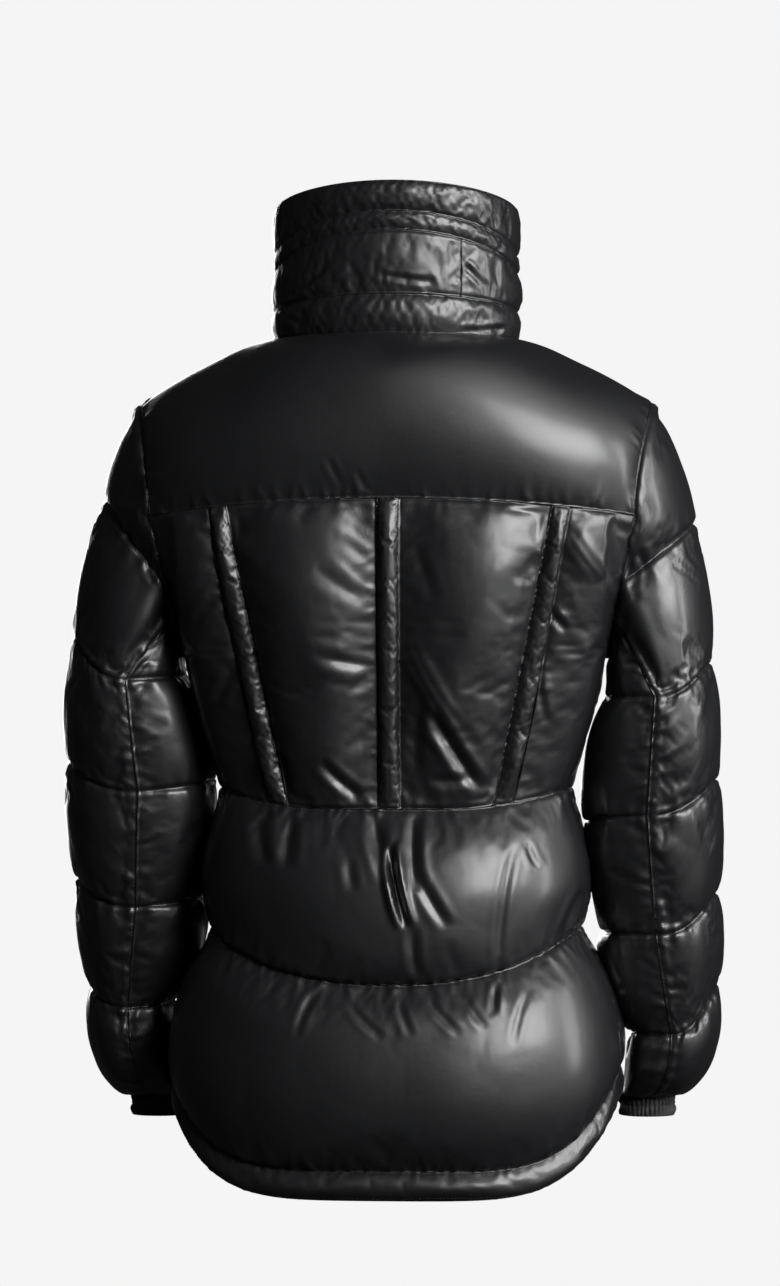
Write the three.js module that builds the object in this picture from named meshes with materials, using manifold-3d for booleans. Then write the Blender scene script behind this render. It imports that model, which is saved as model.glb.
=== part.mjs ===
// A hip-length padded jacket with a tall funnel collar, hollow, as it is when worn.
// Millimetres, +Z up. The back faces +Y, the front faces -Y, and the wearer's left is +X.
// The origin is the middle of the neck, level with the collar's base seam.
import * as THREE from 'three';
import { mergeVertices } from 'three/addons/utils/BufferGeometryUtils.js';
import Module from 'manifold-3d';

const wasm = await Module();
wasm.setup();

// Cloth
const seamGap = 0.3;
const clothWall = 3;
const tapeWall = 1.5;

// Torso sections: height, half width at the side, depth to the back and to the front
const torsoPower = 2.4;
const torsoSections = [
  { z: -138, side: 240, back: 106, front: 98 },
  { z: -165, side: 231, back: 108, front: 103 },
  { z: -214, side: 203, back: 107, front: 108 },
  { z: -246, side: 187, back: 104, front: 109 },
  { z: -270, side: 178, back: 101, front: 107 },
  { z: -300, side: 169, back: 97, front: 103 },
  { z: -345, side: 157, back: 91, front: 97 },
  { z: -394, side: 147, back: 87, front: 93 },
  { z: -425, side: 151, back: 91, front: 96 },
  { z: -465, side: 157, back: 98, front: 100 },
  { z: -508, side: 156, back: 103, front: 102 },
  { z: -550, side: 173, back: 108, front: 105 },
  { z: -600, side: 186, back: 114, front: 108 },
  { z: -650, side: 191, back: 117, front: 108 },
  { z: -735, side: 188, back: 113, front: 103 },
];

// Height of each seam round the torso: middle back, side and middle front, where it starts to rise, and how fast
const torsoSeams = {
  yoke: { back: -140, side: -158, front: -165, start: 0, power: 2 },
  waist: { back: -402, side: -386, front: -398, start: 0.3, power: 2 },
  lower: { back: -549, side: -505, front: -540, start: 0, power: 2.2 },
  hem: { back: -705, side: -624, front: -684, start: 0, power: 5.5 },
  edge: { back: -730, side: -648, front: -709, start: 0, power: 5.5 },
};

// Armhole below the yoke: height and half width
const armhole = [
  { z: -140, half: 207 },
  { z: -158, half: 204 },
  { z: -193, half: 196 },
  { z: -214, half: 192 },
  { z: -246, half: 185 },
  { z: -268, half: 178.5 },
];
const armpitHeight = -268;
const armholeCentre = new THREE.Vector3(204, 0, -150);
const shoulderEnd = 218;
const shoulderDrop = 0.47;
const shoulderSeamRise = 0.2;
const yokeSpread = { shoulder: 2.6, neck: 1.1 };
const yokeFall = { back: 0.08, front: 0.45 };

// Neck opening in plan, then the heights of the collar's seams from its base to its top edge
const neck = { half: 101, back: 73, front: 80, backPower: 1.2, frontPower: 2 };
const collarSeams = [
  { back: 0, side: -3, front: -58 },
  { back: 34, side: 22, front: -26 },
  { back: 88, side: 54, front: 34 },
  { back: 104, side: 70, front: 62 },
  { back: 130, side: 110, front: 98 },
];
const collarUprightSeam = -51;

// Boned channels on the back: half width positions at the yoke seam and at the waist
const channels = { outerTop: 153, innerTop: 138, outerWaist: 101, innerWaist: 85, centre: 9 };

// Zip
const zip = { half: 6, sliderHeight: 80, sliderWidth: 9, sliderLength: 13, plate: 2.4 };
const bridge = { width: 2.8, reach: 4.6, inside: 2.6, thickness: 1.2, slant: 0.8, root: 0.8 };
const pull = { width: 7, length: 26, thickness: 1.2, bar: 1.3, holeWidth: 4.2, holeLength: 7.6, rise: 1.35 };
const plateCorner = 1.6;

// Crown height of the padding in each piece
const puffs = {
  yoke: 17, backCentre: 20, backSide: 15, channel: 6, waistBand: 24, lowerBand: 25, hemBand: 9,
  frontYoke: 15, frontChest: 17, frontWaist: 19, frontLower: 22,
  collarBase: 6, collarMiddle: 7, collarStrip: 4, collarTop: 6,
};

// Largest folds in the back waist band: place across, top, bottom, half width and depth
const waistFolds = [
  { x: -10, top: -418, bottom: -506, half: 13, depth: 12 },
  { x: -85, top: -412, bottom: -470, half: 16, depth: 8 },
  { x: 62, top: -410, bottom: -462, half: 16, depth: 6 },
];
const gatherDepth = 0.35;

// Sleeve rings from the second quilting seam to the cuff: heights and reaches of the inner face of the wall
const sleeveRings = {
  left: [
    { outerZ: -254, backZ: -293, innerZ: -290, frontZ: -268, outer: 274, inner: 187, back: 47, front: -58 },
    { outerZ: -363, backZ: -389, innerZ: -380, frontZ: -366, outer: 281, inner: 163, back: 36, front: -72 },
    { outerZ: -465, backZ: -489, innerZ: -482, frontZ: -470, outer: 276, inner: 176, back: 14, front: -90 },
    { outerZ: -561, backZ: -577, innerZ: -573, frontZ: -564, outer: 266, inner: 203, back: -10, front: -102 },
    { outerZ: -656, backZ: -656, innerZ: -656, frontZ: -656, outer: 235, inner: 191, back: -46, front: -92 },
  ],
  right: [
    { outerZ: -279, backZ: -308, innerZ: -308, frontZ: -286, outer: 265, inner: 185, back: 49, front: -54 },
    { outerZ: -379, backZ: -408, innerZ: -414, frontZ: -386, outer: 270, inner: 168, back: 38, front: -70 },
    { outerZ: -478, backZ: -511, innerZ: -510, frontZ: -485, outer: 270, inner: 181, back: 16, front: -88 },
    { outerZ: -557, backZ: -598, innerZ: -596, frontZ: -566, outer: 270, inner: 205, back: -10, front: -102 },
    { outerZ: -654, backZ: -654, innerZ: -654, frontZ: -654, outer: 236, inner: 192, back: -46, front: -92 },
  ],
};
const sleevePower = 2.2;
const capSeam = { left: { outer: 247, z: -138 }, right: { outer: 252, z: -160 } };
const capMerge = 7;
const capSliver = 6;
const armpitSpread = 2.2;
const sleeveSeamAngles = { back: 92, under: 180, front: 280 };
const sleevePuffs = { outer: 9, back: 14, front: 12, inner: 2 };
const cuff = { height: 18, half: 21, ribs: 22, ribDepth: 2.2 };

// Grid spacing: rows and columns are closer at a seam, where the padding drops away
const yokeRows = [0, 0.12, 0.32, 0.56, 0.82, 1];
const chestRows = [0, 0.1, 0.23, 0.36, 0.43, 0.49, 0.62, 0.78, 0.92, 1];
const bandRows = [0, 0.08, 0.25, 0.5, 0.75, 0.92, 1];
const hemRows = [0, 0.2, 0.5, 0.8, 1];
const collarRows = [0, 0.15, 0.5, 0.85, 1];
const stripRows = [0, 0.5, 1];
const baffleRows = [0, 0.16, 0.5, 0.84];
const channelSteps = [0, 0.2, 0.5, 0.8, 1];
const backSeamRow = 3;
const armpitRow = 5;
const edgeReach = 60;
const zipReach = 35;

const backColumns = { shoulder: 5, sideTo: 5, channelTo: 6, centreTo: 11, middleTo: 12, count: 23 };
const frontColumns = { shoulder: 5, count: 10 };

const radians = THREE.MathUtils.degToRad;
const lerp = THREE.MathUtils.lerp;
const clamp = THREE.MathUtils.clamp;

// A smooth value between the rows of a table whose rows go downwards
function along(table, column, z) {
  const last = table.length - 2;
  let row = 0;
  while (row < last && z < table[row + 1].z) row += 1;
  const above = table[row];
  const below = table[row + 1];
  const before = table[Math.max(row - 1, 0)];
  const after = table[Math.min(row + 2, table.length - 1)];
  const span = below.z - above.z;
  const t = clamp((z - above.z) / span, 0, 1);
  const slopeIn = ((below[column] - before[column]) / (below.z - before.z)) * span;
  const slopeOut = ((after[column] - above[column]) / (after.z - above.z)) * span;
  const t2 = t * t;
  const t3 = t2 * t;
  return (2 * t3 - 3 * t2 + 1) * above[column] + (t3 - 2 * t2 + t) * slopeIn
    + (3 * t2 - 2 * t3) * below[column] + (t3 - t2) * slopeOut;
}

function signedPower(value, power) {
  return Math.sign(value) * Math.abs(value) ** power;
}

// A point of the torso at a height, with the angle 0 at the wearer's left side and 90 degrees at the back
function torsoPoint(angle, z) {
  const depth = along(torsoSections, Math.sin(angle) >= 0 ? 'back' : 'front', z);
  return new THREE.Vector3(
    along(torsoSections, 'side', z) * signedPower(Math.cos(angle), 2 / torsoPower),
    depth * signedPower(Math.sin(angle), 2 / torsoPower),
    z,
  );
}

function angleAcross(x, z) {
  return Math.acos(clamp(Math.abs(x) / along(torsoSections, 'side', z), 0, 1) ** (torsoPower / 2));
}

function seamHeight(seam, angle) {
  const across = Math.abs(Math.cos(angle)) ** (2 / torsoPower);
  const middle = Math.sin(angle) >= 0 ? seam.back : seam.front;
  const rise = Math.max(0, (across - seam.start) / (1 - seam.start)) ** seam.power;
  return lerp(middle, seam.side, rise);
}

function armholeAngle(z) {
  return z > armpitHeight + 0.01 ? angleAcross(along(armhole, 'half', z), z) : 0;
}

// Angle of a back column at a height, on the wearer's left; the right half mirrors it
function backAngle(column, z) {
  const mirrored = column > backColumns.count / 2;
  const index = mirrored ? backColumns.count - column : column;
  const fall = clamp((z - torsoSeams.yoke.back) / (torsoSeams.waist.back - torsoSeams.yoke.back), 0, 1);
  const level = Math.max(z, torsoSeams.waist.back);
  const outer = angleAcross(lerp(channels.outerTop, channels.outerWaist, fall), level);
  const inner = angleAcross(lerp(channels.innerTop, channels.innerWaist, fall), level);
  const middle = angleAcross(channels.centre, level);
  let angle = lerp(armholeAngle(z), outer, index / backColumns.sideTo);
  if (index >= backColumns.channelTo) {
    const share = (index - backColumns.channelTo) / (backColumns.centreTo - backColumns.channelTo);
    angle = lerp(inner, middle, share);
  }
  return mirrored ? Math.PI - angle : angle;
}

// Angle of a front column at a height, from the side seam to the zip
function frontAngle(column, z, side) {
  const level = along(torsoSections, 'side', z);
  const zipAngle = Math.acos((zip.half / level) ** (torsoPower / 2));
  const angle = lerp(armholeAngle(z), zipAngle, column / frontColumns.count);
  return side > 0 ? -angle : Math.PI + angle;
}

// The height where a seam crosses a column, found by stepping towards it
function crossing(seam, angleAt) {
  let z = seam.back;
  for (let step = 0; step < 12; step += 1) z = seamHeight(seam, angleAt(z));
  return z;
}

function collarHeight(ring, angle) {
  const sine = Math.sin(angle);
  const end = sine >= 0 ? ring.back : ring.front;
  const power = sine >= 0 ? neck.backPower : neck.frontPower;
  return lerp(ring.side, end, Math.abs(sine) ** power);
}

function neckPoint(ring, angle) {
  const depth = Math.sin(angle) >= 0 ? neck.back : neck.front;
  return new THREE.Vector3(neck.half * Math.cos(angle), depth * Math.sin(angle), collarHeight(ring, angle));
}

// Directions in which the padding stands off the body, the collar and the sleeve
function torsoOutward(point) {
  const high = THREE.MathUtils.smoothstep(point.z, -250, -100);
  const core = new THREE.Vector3(point.x * lerp(0.45, 0.75, high), 0, Math.min(point.z, -118));
  return point.clone().sub(core).normalize();
}

function collarOutward(angle) {
  return new THREE.Vector3(Math.cos(angle), Math.sin(angle), 0).normalize();
}

function sleeveOutward(point, centre) {
  return point.clone().sub(centre).normalize();
}

function armholeOutward(point) {
  const low = THREE.MathUtils.smoothstep(-point.z, 200, 268);
  const centre = armholeCentre.clone();
  centre.x *= Math.sign(point.x);
  centre.z = Math.min(point.z, armholeCentre.z);
  const toSleeve = sleeveOutward(point, centre).multiplyScalar(1 - low);
  return torsoOutward(point).multiplyScalar(1 - low).add(toSleeve)
    .add(new THREE.Vector3(0, 0.35 * Math.sign(point.y) * (1 - low), -low)).normalize();
}

// How the padding rises between two seams, from 0 at a seam to 1 at the crown
function rise(t, floor = 0) {
  return Math.max(floor, (4 * t * (1 - t)) ** 0.6);
}

// How the padding rises over a distance from a free-running edge
function edgeRise(distance, reach) {
  const share = clamp(distance / reach, 0, 1);
  return (1 - (1 - share) ** 2) ** 0.6;
}

// Padding across a panel whose first edge lies under the arm, where it stays low
function underArmRise(across) {
  return across < 0.5 ? (2 * across) ** 2.4 : rise(across);
}

// Turns rows of points with a direction and a padding height into one closed wall
function wallGeometry(rows, wall = clothWall, ring = false) {
  const inner = rows.map((row) => row.map((cell) => cell.base.clone()));
  insetEdges(inner, ring);
  const rowCount = rows.length;
  const columnCount = rows[0].length;
  const positions = [];
  for (const outside of [false, true]) {
    for (let i = 0; i < rowCount; i += 1) {
      for (let j = 0; j < columnCount; j += 1) {
        const cell = rows[i][j];
        const lift = outside ? wall + cell.puff : 0;
        positions.push(...inner[i][j].clone().addScaledVector(cell.outward, lift).toArray());
      }
    }
  }
  const index = [];
  const at = (outside, i, j) => outside * rowCount * columnCount + i * columnCount + (j % columnCount);
  const quad = (a, b, c, d) => index.push(a, b, c, a, c, d);
  const lastColumn = ring ? columnCount : columnCount - 1;
  for (let i = 0; i < rowCount - 1; i += 1) {
    for (let j = 0; j < lastColumn; j += 1) {
      quad(at(1, i, j), at(1, i, j + 1), at(1, i + 1, j + 1), at(1, i + 1, j));
      quad(at(0, i, j), at(0, i + 1, j), at(0, i + 1, j + 1), at(0, i, j + 1));
    }
    if (!ring) {
      quad(at(0, i, 0), at(1, i, 0), at(1, i + 1, 0), at(0, i + 1, 0));
      quad(at(1, i, lastColumn), at(0, i, lastColumn), at(0, i + 1, lastColumn), at(1, i + 1, lastColumn));
    }
  }
  for (let j = 0; j < lastColumn; j += 1) {
    quad(at(0, 0, j), at(0, 0, j + 1), at(1, 0, j + 1), at(1, 0, j));
    quad(at(1, rowCount - 1, j), at(1, rowCount - 1, j + 1), at(0, rowCount - 1, j + 1), at(0, rowCount - 1, j));
  }
  return closedGeometry(positions, index);
}

// Draws the edge points in by half the seam gap, towards their neighbours
function insetEdges(points, ring) {
  const half = seamGap / 2;
  const lastRow = points.length - 1;
  const lastColumn = points[0].length - 1;
  const shift = (from, to) => to.clone().sub(from).setLength(half);
  const moves = [];
  for (let j = 0; j <= lastColumn; j += 1) {
    moves.push([points[0][j], shift(points[0][j], points[1][j])]);
    moves.push([points[lastRow][j], shift(points[lastRow][j], points[lastRow - 1][j])]);
  }
  if (!ring) {
    for (let i = 0; i <= lastRow; i += 1) {
      moves.push([points[i][0], shift(points[i][0], points[i][1])]);
      moves.push([points[i][lastColumn], shift(points[i][lastColumn], points[i][lastColumn - 1])]);
    }
  }
  for (const [point, move] of moves) point.add(move);
}

// Makes a geometry whose faces point outwards, whichever way its grid ran
function closedGeometry(positions, index) {
  const geometry = new THREE.BufferGeometry();
  geometry.setAttribute('position', new THREE.Float32BufferAttribute(positions, 3));
  if (signedVolume(positions, index) < 0) {
    for (let k = 0; k < index.length; k += 3) [index[k + 1], index[k + 2]] = [index[k + 2], index[k + 1]];
  }
  geometry.setIndex(index);
  geometry.computeVertexNormals();
  return geometry;
}

function signedVolume(positions, index) {
  const corner = (k) => new THREE.Vector3().fromArray(positions, index[k] * 3);
  let volume = 0;
  for (let k = 0; k < index.length; k += 3) {
    volume += corner(k).dot(corner(k + 1).cross(corner(k + 2))) / 6;
  }
  return volume;
}

const nylonColour = 0x101114;
const looks = {
  nylon: { color: nylonColour, roughness: 0.32, metalness: 0 },
  channel: { color: 0x0c0d10, roughness: 0.36, metalness: 0 },
  cuff: { color: 0x0b0b0d, roughness: 0.6, metalness: 0 },
  tape: { color: 0x0a0a0b, roughness: 0.8, metalness: 0 },
  metal: { color: 0x2a2b2e, roughness: 0.3, metalness: 0.9 },
};

const jacket = new THREE.Group();

function addPiece(name, geometry, look, parent = jacket) {
  const piece = new THREE.Mesh(geometry, new THREE.MeshStandardMaterial(looks[look]));
  piece.name = name;
  parent.add(piece);
  return piece;
}

// Yoke points: each column runs from the neck or the shoulder seam over the back or the chest to the yoke seam
function yokeTop(column, count, shoulderCount, front) {
  const fromFar = !front && column > count / 2;
  const index = fromFar ? count - column : column;
  if (index <= shoulderCount) {
    const x = lerp(shoulderEnd, neck.half, index / shoulderCount);
    const neckSide = collarHeight(collarSeams[0], 0);
    const slope = neckSide - shoulderDrop * (x - neck.half);
    const z = x > neck.half ? slope : neckSide;
    return new THREE.Vector3(fromFar ? -x : x, 0, z);
  }
  const neckCells = front ? count - shoulderCount : count - 2 * shoulderCount;
  const sweep = front ? Math.acos(zip.half / neck.half) : Math.PI;
  const angle = (sweep * (column - shoulderCount)) / neckCells;
  return neckPoint(collarSeams[0], front ? -angle : angle);
}

// How much straighter than a quarter round a column of the yoke falls away from the neck
function neckFall(column, options) {
  const { count, shoulderCount, front } = options;
  if (!front) return yokeFall.back;
  return lerp(yokeFall.back, yokeFall.front, clamp((column - shoulderCount) / (count - shoulderCount), 0, 1) ** 0.5);
}

function yokeCell(column, t, options) {
  const { count, shoulderCount, front, side, angleAt, puff } = options;
  const top = yokeTop(column, count, shoulderCount, front);
  if (side < 0) top.x *= -1;
  const seamZ = crossing(torsoSeams.yoke, angleAt);
  const bottom = torsoPoint(angleAt(seamZ), seamZ);
  const turn = (t * Math.PI) / 2;
  const straight = neckFall(column, options);
  const fall = lerp(1 - Math.cos(turn), t, straight);
  const neckColumn = column >= shoulderCount && (front || column <= count - shoulderCount);
  const fromShoulder = Math.min(1, (front ? column : Math.min(column, count - column)) / shoulderCount);
  const spread = lerp(yokeSpread.shoulder, yokeSpread.neck, fromShoulder);
  const base = new THREE.Vector3(
    lerp(top.x, bottom.x, Math.sin(turn) ** spread),
    lerp(top.y, bottom.y, Math.sin(turn)),
    lerp(top.z, bottom.z, fall),
  );
  let outward = torsoOutward(base);
  if (neckColumn && t === 0) {
    outward = outward.add(collarOutward(Math.atan2(base.y / neck.back, base.x / neck.half))).normalize();
  }
  if (column === 0 || (!front && column === count)) outward = armholeOutward(base);
  let seamRise = rise(t);
  if (t < 0.5) seamRise = neckColumn ? rise(t) ** 3 : Math.max(rise(t), shoulderSeamRise);
  const fromArmhole = edgeRise(lerp(shoulderEnd, armhole[0].half, t) - Math.abs(base.x), edgeReach);
  const fromZip = front ? edgeRise(Math.abs(base.x) - zip.half, zipReach) : 1;
  return { base, outward, puff: puff * seamRise * fromArmhole * fromZip };
}

function addYokes() {
  const back = { count: backColumns.count, shoulderCount: backColumns.shoulder, front: false, side: 1 };
  const rows = yokeRows.map((t) => gridRow(0, back.count, (column) => yokeCell(column, t, {
    ...back, angleAt: (z) => backAngle(column, z), puff: puffs.yoke,
  })));
  addPiece('back_yoke', wallGeometry(rows), 'nylon');
  for (const [name, side] of [['left', 1], ['right', -1]]) {
    const front = { count: frontColumns.count, shoulderCount: frontColumns.shoulder, front: true, side };
    const frontRows = yokeRows.map((t) => gridRow(0, front.count, (column) => yokeCell(column, t, {
      ...front, angleAt: (z) => frontAngle(column, z, side), puff: puffs.frontYoke,
    })));
    addPiece(`front_yoke_${name}`, wallGeometry(frontRows), 'nylon');
  }
}

function gridRow(first, last, cell) {
  return Array.from({ length: last - first + 1 }, (_, step) => cell(first + step));
}

// Height of a row: the chest's rows pass through the level of the armpit
function rowHeight(t, angleAt, seams) {
  const top = crossing(torsoSeams[seams[0]], angleAt);
  const bottom = crossing(torsoSeams[seams[1]], angleAt);
  if (seams[0] !== 'yoke') return lerp(top, bottom, t);
  const armpitShare = chestRows[armpitRow];
  if (t < armpitShare) return lerp(top, armpitHeight, t / armpitShare);
  return lerp(armpitHeight, bottom, (t - armpitShare) / (1 - armpitShare));
}

// One cell of a torso panel; an armhole column follows the sleeve's seam down to the armpit
function torsoCell(t, angleAt, seams, onArmhole, padding) {
  const z = rowHeight(t, angleAt, seams);
  const base = torsoPoint(angleAt(z), z);
  const sewnToSleeve = onArmhole && z > armpitHeight - 1;
  const outward = sewnToSleeve ? armholeOutward(base) : torsoOutward(base);
  return { base, outward, puff: padding(base) };
}

// A torso panel between two columns, its rows from one seam down to the next
function torsoPanel(name, columns, rows, seams, angleOf, armholeColumn, padding, look = 'nylon') {
  const [first, last] = columns;
  const grid = rows.map((t) => gridRow(first, last, (column) => {
    const across = (column - first) / (last - first);
    const onArmhole = seams[0] === 'yoke' && column === armholeColumn;
    return torsoCell(t, (z) => angleOf(column, z), seams, onArmhole, (base) => padding(t, across, base, column));
  }));
  addPiece(name, wallGeometry(grid), look);
}

function foldDepth(base) {
  let depth = 0;
  for (const fold of waistFolds) {
    const across = (base.x - fold.x) / fold.half;
    const down = clamp((fold.top - base.z) / (fold.top - fold.bottom), 0, 1);
    depth += base.y > 0 ? fold.depth * Math.exp(-across * across) * Math.sin(Math.PI * down) : 0;
  }
  return depth;
}

// Gathers at the drawn-in waist: every other column is held down beside the seam
function gathered(t, column, nearTop) {
  const near = nearTop ? 1 - t : t;
  return 1 - gatherDepth * (column % 2) * THREE.MathUtils.smoothstep(near, 0.6, 0.95);
}

function addBack() {
  const { sideTo, channelTo, centreTo, middleTo, count } = backColumns;
  const seams = ['yoke', 'waist'];
  const padded = (crown, acrossRise) => (t, across, base, column) => (
    crown * rise(t) * acrossRise(across) * gathered(t, column, false));
  const piped = (t) => puffs.channel * Math.min(1, rise(t) * 1.6);
  const panels = [
    ['back_side_left', [0, sideTo], puffs.backSide, underArmRise],
    ['back_centre_left', [channelTo, centreTo], puffs.backCentre, rise],
    ['back_centre_right', [middleTo, count - channelTo], puffs.backCentre, rise],
    ['back_side_right', [count - sideTo, count], puffs.backSide, (across) => underArmRise(1 - across)],
  ];
  for (const [name, columns, crown, acrossRise] of panels) {
    const edge = columns[0] === 0 ? 0 : count;
    torsoPanel(name, columns, chestRows, seams, backAngle, edge, padded(crown, acrossRise));
  }
  addChannel('back_channel_left', sideTo, piped);
  addChannel('back_channel_centre', centreTo, piped);
  addChannel('back_channel_right', count - channelTo, piped);
  torsoPanel('back_waist_band', [0, count], bandRows, ['waist', 'lower'], backAngle, -1,
    (t, across, base, column) => (
      puffs.waistBand * rise(t) * rise(across, 0.15) * gathered(t, column, true) - foldDepth(base) * rise(t)));
  torsoPanel('back_lower_band', [0, count], bandRows, ['lower', 'hem'], backAngle, -1, (t, across) => (
    puffs.lowerBand * rise(t) * rise(across, 0.15)));
  torsoPanel('back_hem_band', [0, count], hemRows, ['hem', 'edge'], backAngle, -1, (t, across) => (
    puffs.hemBand * rise(t) * rise(across, 0.3)));
}

// A narrow boned channel that fills one column, with a rounded back of its own
function addChannel(name, column, piped) {
  const seams = ['yoke', 'waist'];
  const grid = chestRows.map((t) => channelSteps.map((across) => {
    const angleAt = (z) => lerp(backAngle(column, z), backAngle(column + 1, z), across);
    return torsoCell(t, angleAt, seams, false, () => piped(t) * rise(across));
  }));
  addPiece(name, wallGeometry(grid), 'channel');
}

function addFronts() {
  const { count } = frontColumns;
  const fronts = [
    ['chest', chestRows, ['yoke', 'waist'], puffs.frontChest, underArmRise],
    ['waist_band', bandRows, ['waist', 'lower'], puffs.frontWaist, (across) => rise(across, across < 0.5 ? 0.15 : 0)],
    ['lower_band', bandRows, ['lower', 'hem'], puffs.frontLower, (across) => rise(across, across < 0.5 ? 0.15 : 0)],
    ['hem_band', hemRows, ['hem', 'edge'], puffs.hemBand, (across) => rise(across, across < 0.5 ? 0.3 : 0)],
  ];
  for (const [name, side] of [['left', 1], ['right', -1]]) {
    for (const [piece, rows, seams, crown, acrossRise] of fronts) {
      torsoPanel(`front_${piece}_${name}`, [0, count], rows, seams, (column, z) => frontAngle(column, z, side), 0,
        (t, across) => crown * rise(t) * acrossRise(across));
    }
  }
}

// Collar columns go from the zip on the wearer's left round the back to the zip on the right
function collarAngles() {
  const frontCells = frontColumns.count - frontColumns.shoulder;
  const backCells = backColumns.count - 2 * backColumns.shoulder;
  const zipAngle = Math.acos(zip.half / neck.half);
  const angles = [];
  for (let k = -frontCells; k < 0; k += 1) angles.push((zipAngle * k) / frontCells);
  for (let k = 0; k < backCells; k += 1) angles.push((Math.PI * k) / backCells);
  for (let k = 0; k <= frontCells; k += 1) angles.push(Math.PI + (zipAngle * k) / frontCells);
  return angles;
}

function collarBand(name, angles, lowerRing, upperRing, rows, crown) {
  const grid = rows.map((t) => angles.map((angle, column) => {
    const from = neckPoint(collarSeams[lowerRing], angle);
    const to = neckPoint(collarSeams[upperRing], angle);
    const base = from.lerp(to, t);
    let outward = collarOutward(angle);
    if (t === 0 && lowerRing === 0) outward = torsoOutward(base).add(outward).normalize();
    const seamRise = lowerRing === 0 && t < 0.5 ? rise(t) ** 2 : rise(t);
    return { base, outward, puff: crown * seamRise * rise(column / (angles.length - 1), 0.25) };
  }));
  addPiece(name, wallGeometry(grid), 'nylon');
}

function addCollar() {
  const angles = collarAngles();
  const upright = angles.findIndex((angle) => neck.half * Math.cos(angle) < collarUprightSeam + 3);
  collarBand('collar_base_band', angles, 0, 1, collarRows, puffs.collarBase);
  collarBand('collar_middle_band_left', angles.slice(0, upright + 1), 1, 2, collarRows, puffs.collarMiddle);
  collarBand('collar_middle_band_right', angles.slice(upright), 1, 2, collarRows, puffs.collarMiddle);
  collarBand('collar_strip', angles, 2, 3, stripRows, puffs.collarStrip);
  collarBand('collar_top_band', angles, 3, 4, collarRows, puffs.collarTop);
}

// Armhole points from the shoulder down the back or the front to the armpit
function armholePoint(side, front, index) {
  const angleAt = (z) => {
    if (front) return frontAngle(0, z, side);
    return backAngle(side > 0 ? 0 : backColumns.count, z);
  };
  const lastYokeRow = yokeRows.length - 1;
  if (index < lastYokeRow) {
    const options = front
      ? { count: frontColumns.count, shoulderCount: frontColumns.shoulder, front: true, side }
      : { count: backColumns.count, shoulderCount: backColumns.shoulder, front: false, side: 1 };
    const column = !front && side < 0 ? backColumns.count : 0;
    return yokeCell(column, yokeRows[index], { ...options, angleAt, puff: 0 }).base;
  }
  return torsoCell(chestRows[index - lastYokeRow], angleAt, ['yoke', 'waist'], true, () => 0).base;
}

// A point of a sleeve ring at an angle, 0 at its outer side, 90 degrees at the back and 180 beside the torso
function ringPoint(ring, side, angle) {
  const cosine = Math.cos(angle);
  const sine = Math.sin(angle);
  const middleX = (ring.outer + ring.inner) / 2;
  const middleY = (ring.back + ring.front) / 2;
  const z = (cosine > 0 ? ring.outerZ : ring.innerZ) * cosine * cosine
    + (sine > 0 ? ring.backZ : ring.frontZ) * sine * sine;
  return new THREE.Vector3(
    side * (middleX + ((ring.outer - ring.inner) / 2) * signedPower(cosine, 2 / sleevePower)),
    middleY + ((ring.back - ring.front) / 2) * signedPower(sine, 2 / sleevePower),
    z,
  );
}

function ringCentre(ring, side, z) {
  return new THREE.Vector3(side * ((ring.outer + ring.inner) / 2), (ring.back + ring.front) / 2, z);
}

// The cap seam leaves the armhole at the back and the front and crosses the outer side of the arm
function capPoint(sideName, side, front, index, next) {
  const start = armholePoint(side, front, index);
  if (index >= capMerge) {
    const sliver = start.clone().lerp(next, capSliver / start.distanceTo(next));
    sliver.x += side * armpitSpread * (index - capMerge);
    return sliver;
  }
  const merge = armholePoint(side, front, capMerge);
  const turn = (index / capMerge) * (Math.PI / 2);
  const cap = capSeam[sideName];
  const reach = cap.outer - Math.abs(merge.x);
  return new THREE.Vector3(
    side * (Math.abs(merge.x) + 3 + (reach - 3) * Math.cos(turn)),
    merge.y * Math.sin(turn),
    lerp(cap.z, merge.z - capSliver * 0.7, (index / capMerge) ** 1.6),
  );
}

function sleeveColumns() {
  const lastBack = yokeRows.length - 1 + backSeamRow;
  const lowest = yokeRows.length - 1 + armpitRow;
  const outer = [];
  for (let k = lastBack; k > 0; k -= 1) {
    outer.push({ front: false, index: k, angle: (sleeveSeamAngles.back * k) / lastBack });
  }
  for (let k = 0; k <= lastBack; k += 1) {
    outer.push({ front: true, index: k, angle: ((sleeveSeamAngles.front - 360) * k) / lastBack });
  }
  const under = [];
  const cells = lowest - lastBack;
  for (let k = 0; k <= cells; k += 1) {
    const angle = lerp(sleeveSeamAngles.back, sleeveSeamAngles.under, k / cells);
    under.push({ front: false, index: lastBack + k, angle });
  }
  for (let k = cells - 1; k >= 0; k -= 1) {
    const angle = lerp(sleeveSeamAngles.front, sleeveSeamAngles.under, k / cells);
    under.push({ front: true, index: lastBack + k, angle });
  }
  return { outer, under };
}

// The seams that one column of the sleeve crosses, from the armhole to the cuff
function sleeveStations(sideName, side, column) {
  const angle = radians(column.angle);
  const rings = sleeveRings[sideName];
  const start = armholePoint(side, column.front, column.index);
  const second = ringPoint(rings[0], side, angle);
  const cap = capPoint(sideName, side, column.front, column.index, second);
  const centre = armholeCentre.clone();
  centre.x *= side;
  centre.z = Math.min(cap.z, centre.z);
  const stations = [
    { point: start, outward: armholeOutward(start) },
    { point: cap, outward: sleeveOutward(cap, centre) },
  ];
  for (const ring of rings) {
    const point = ringPoint(ring, side, angle);
    stations.push({ point, outward: sleeveOutward(point, ringCentre(ring, side, point.z)) });
  }
  return stations;
}

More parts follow.
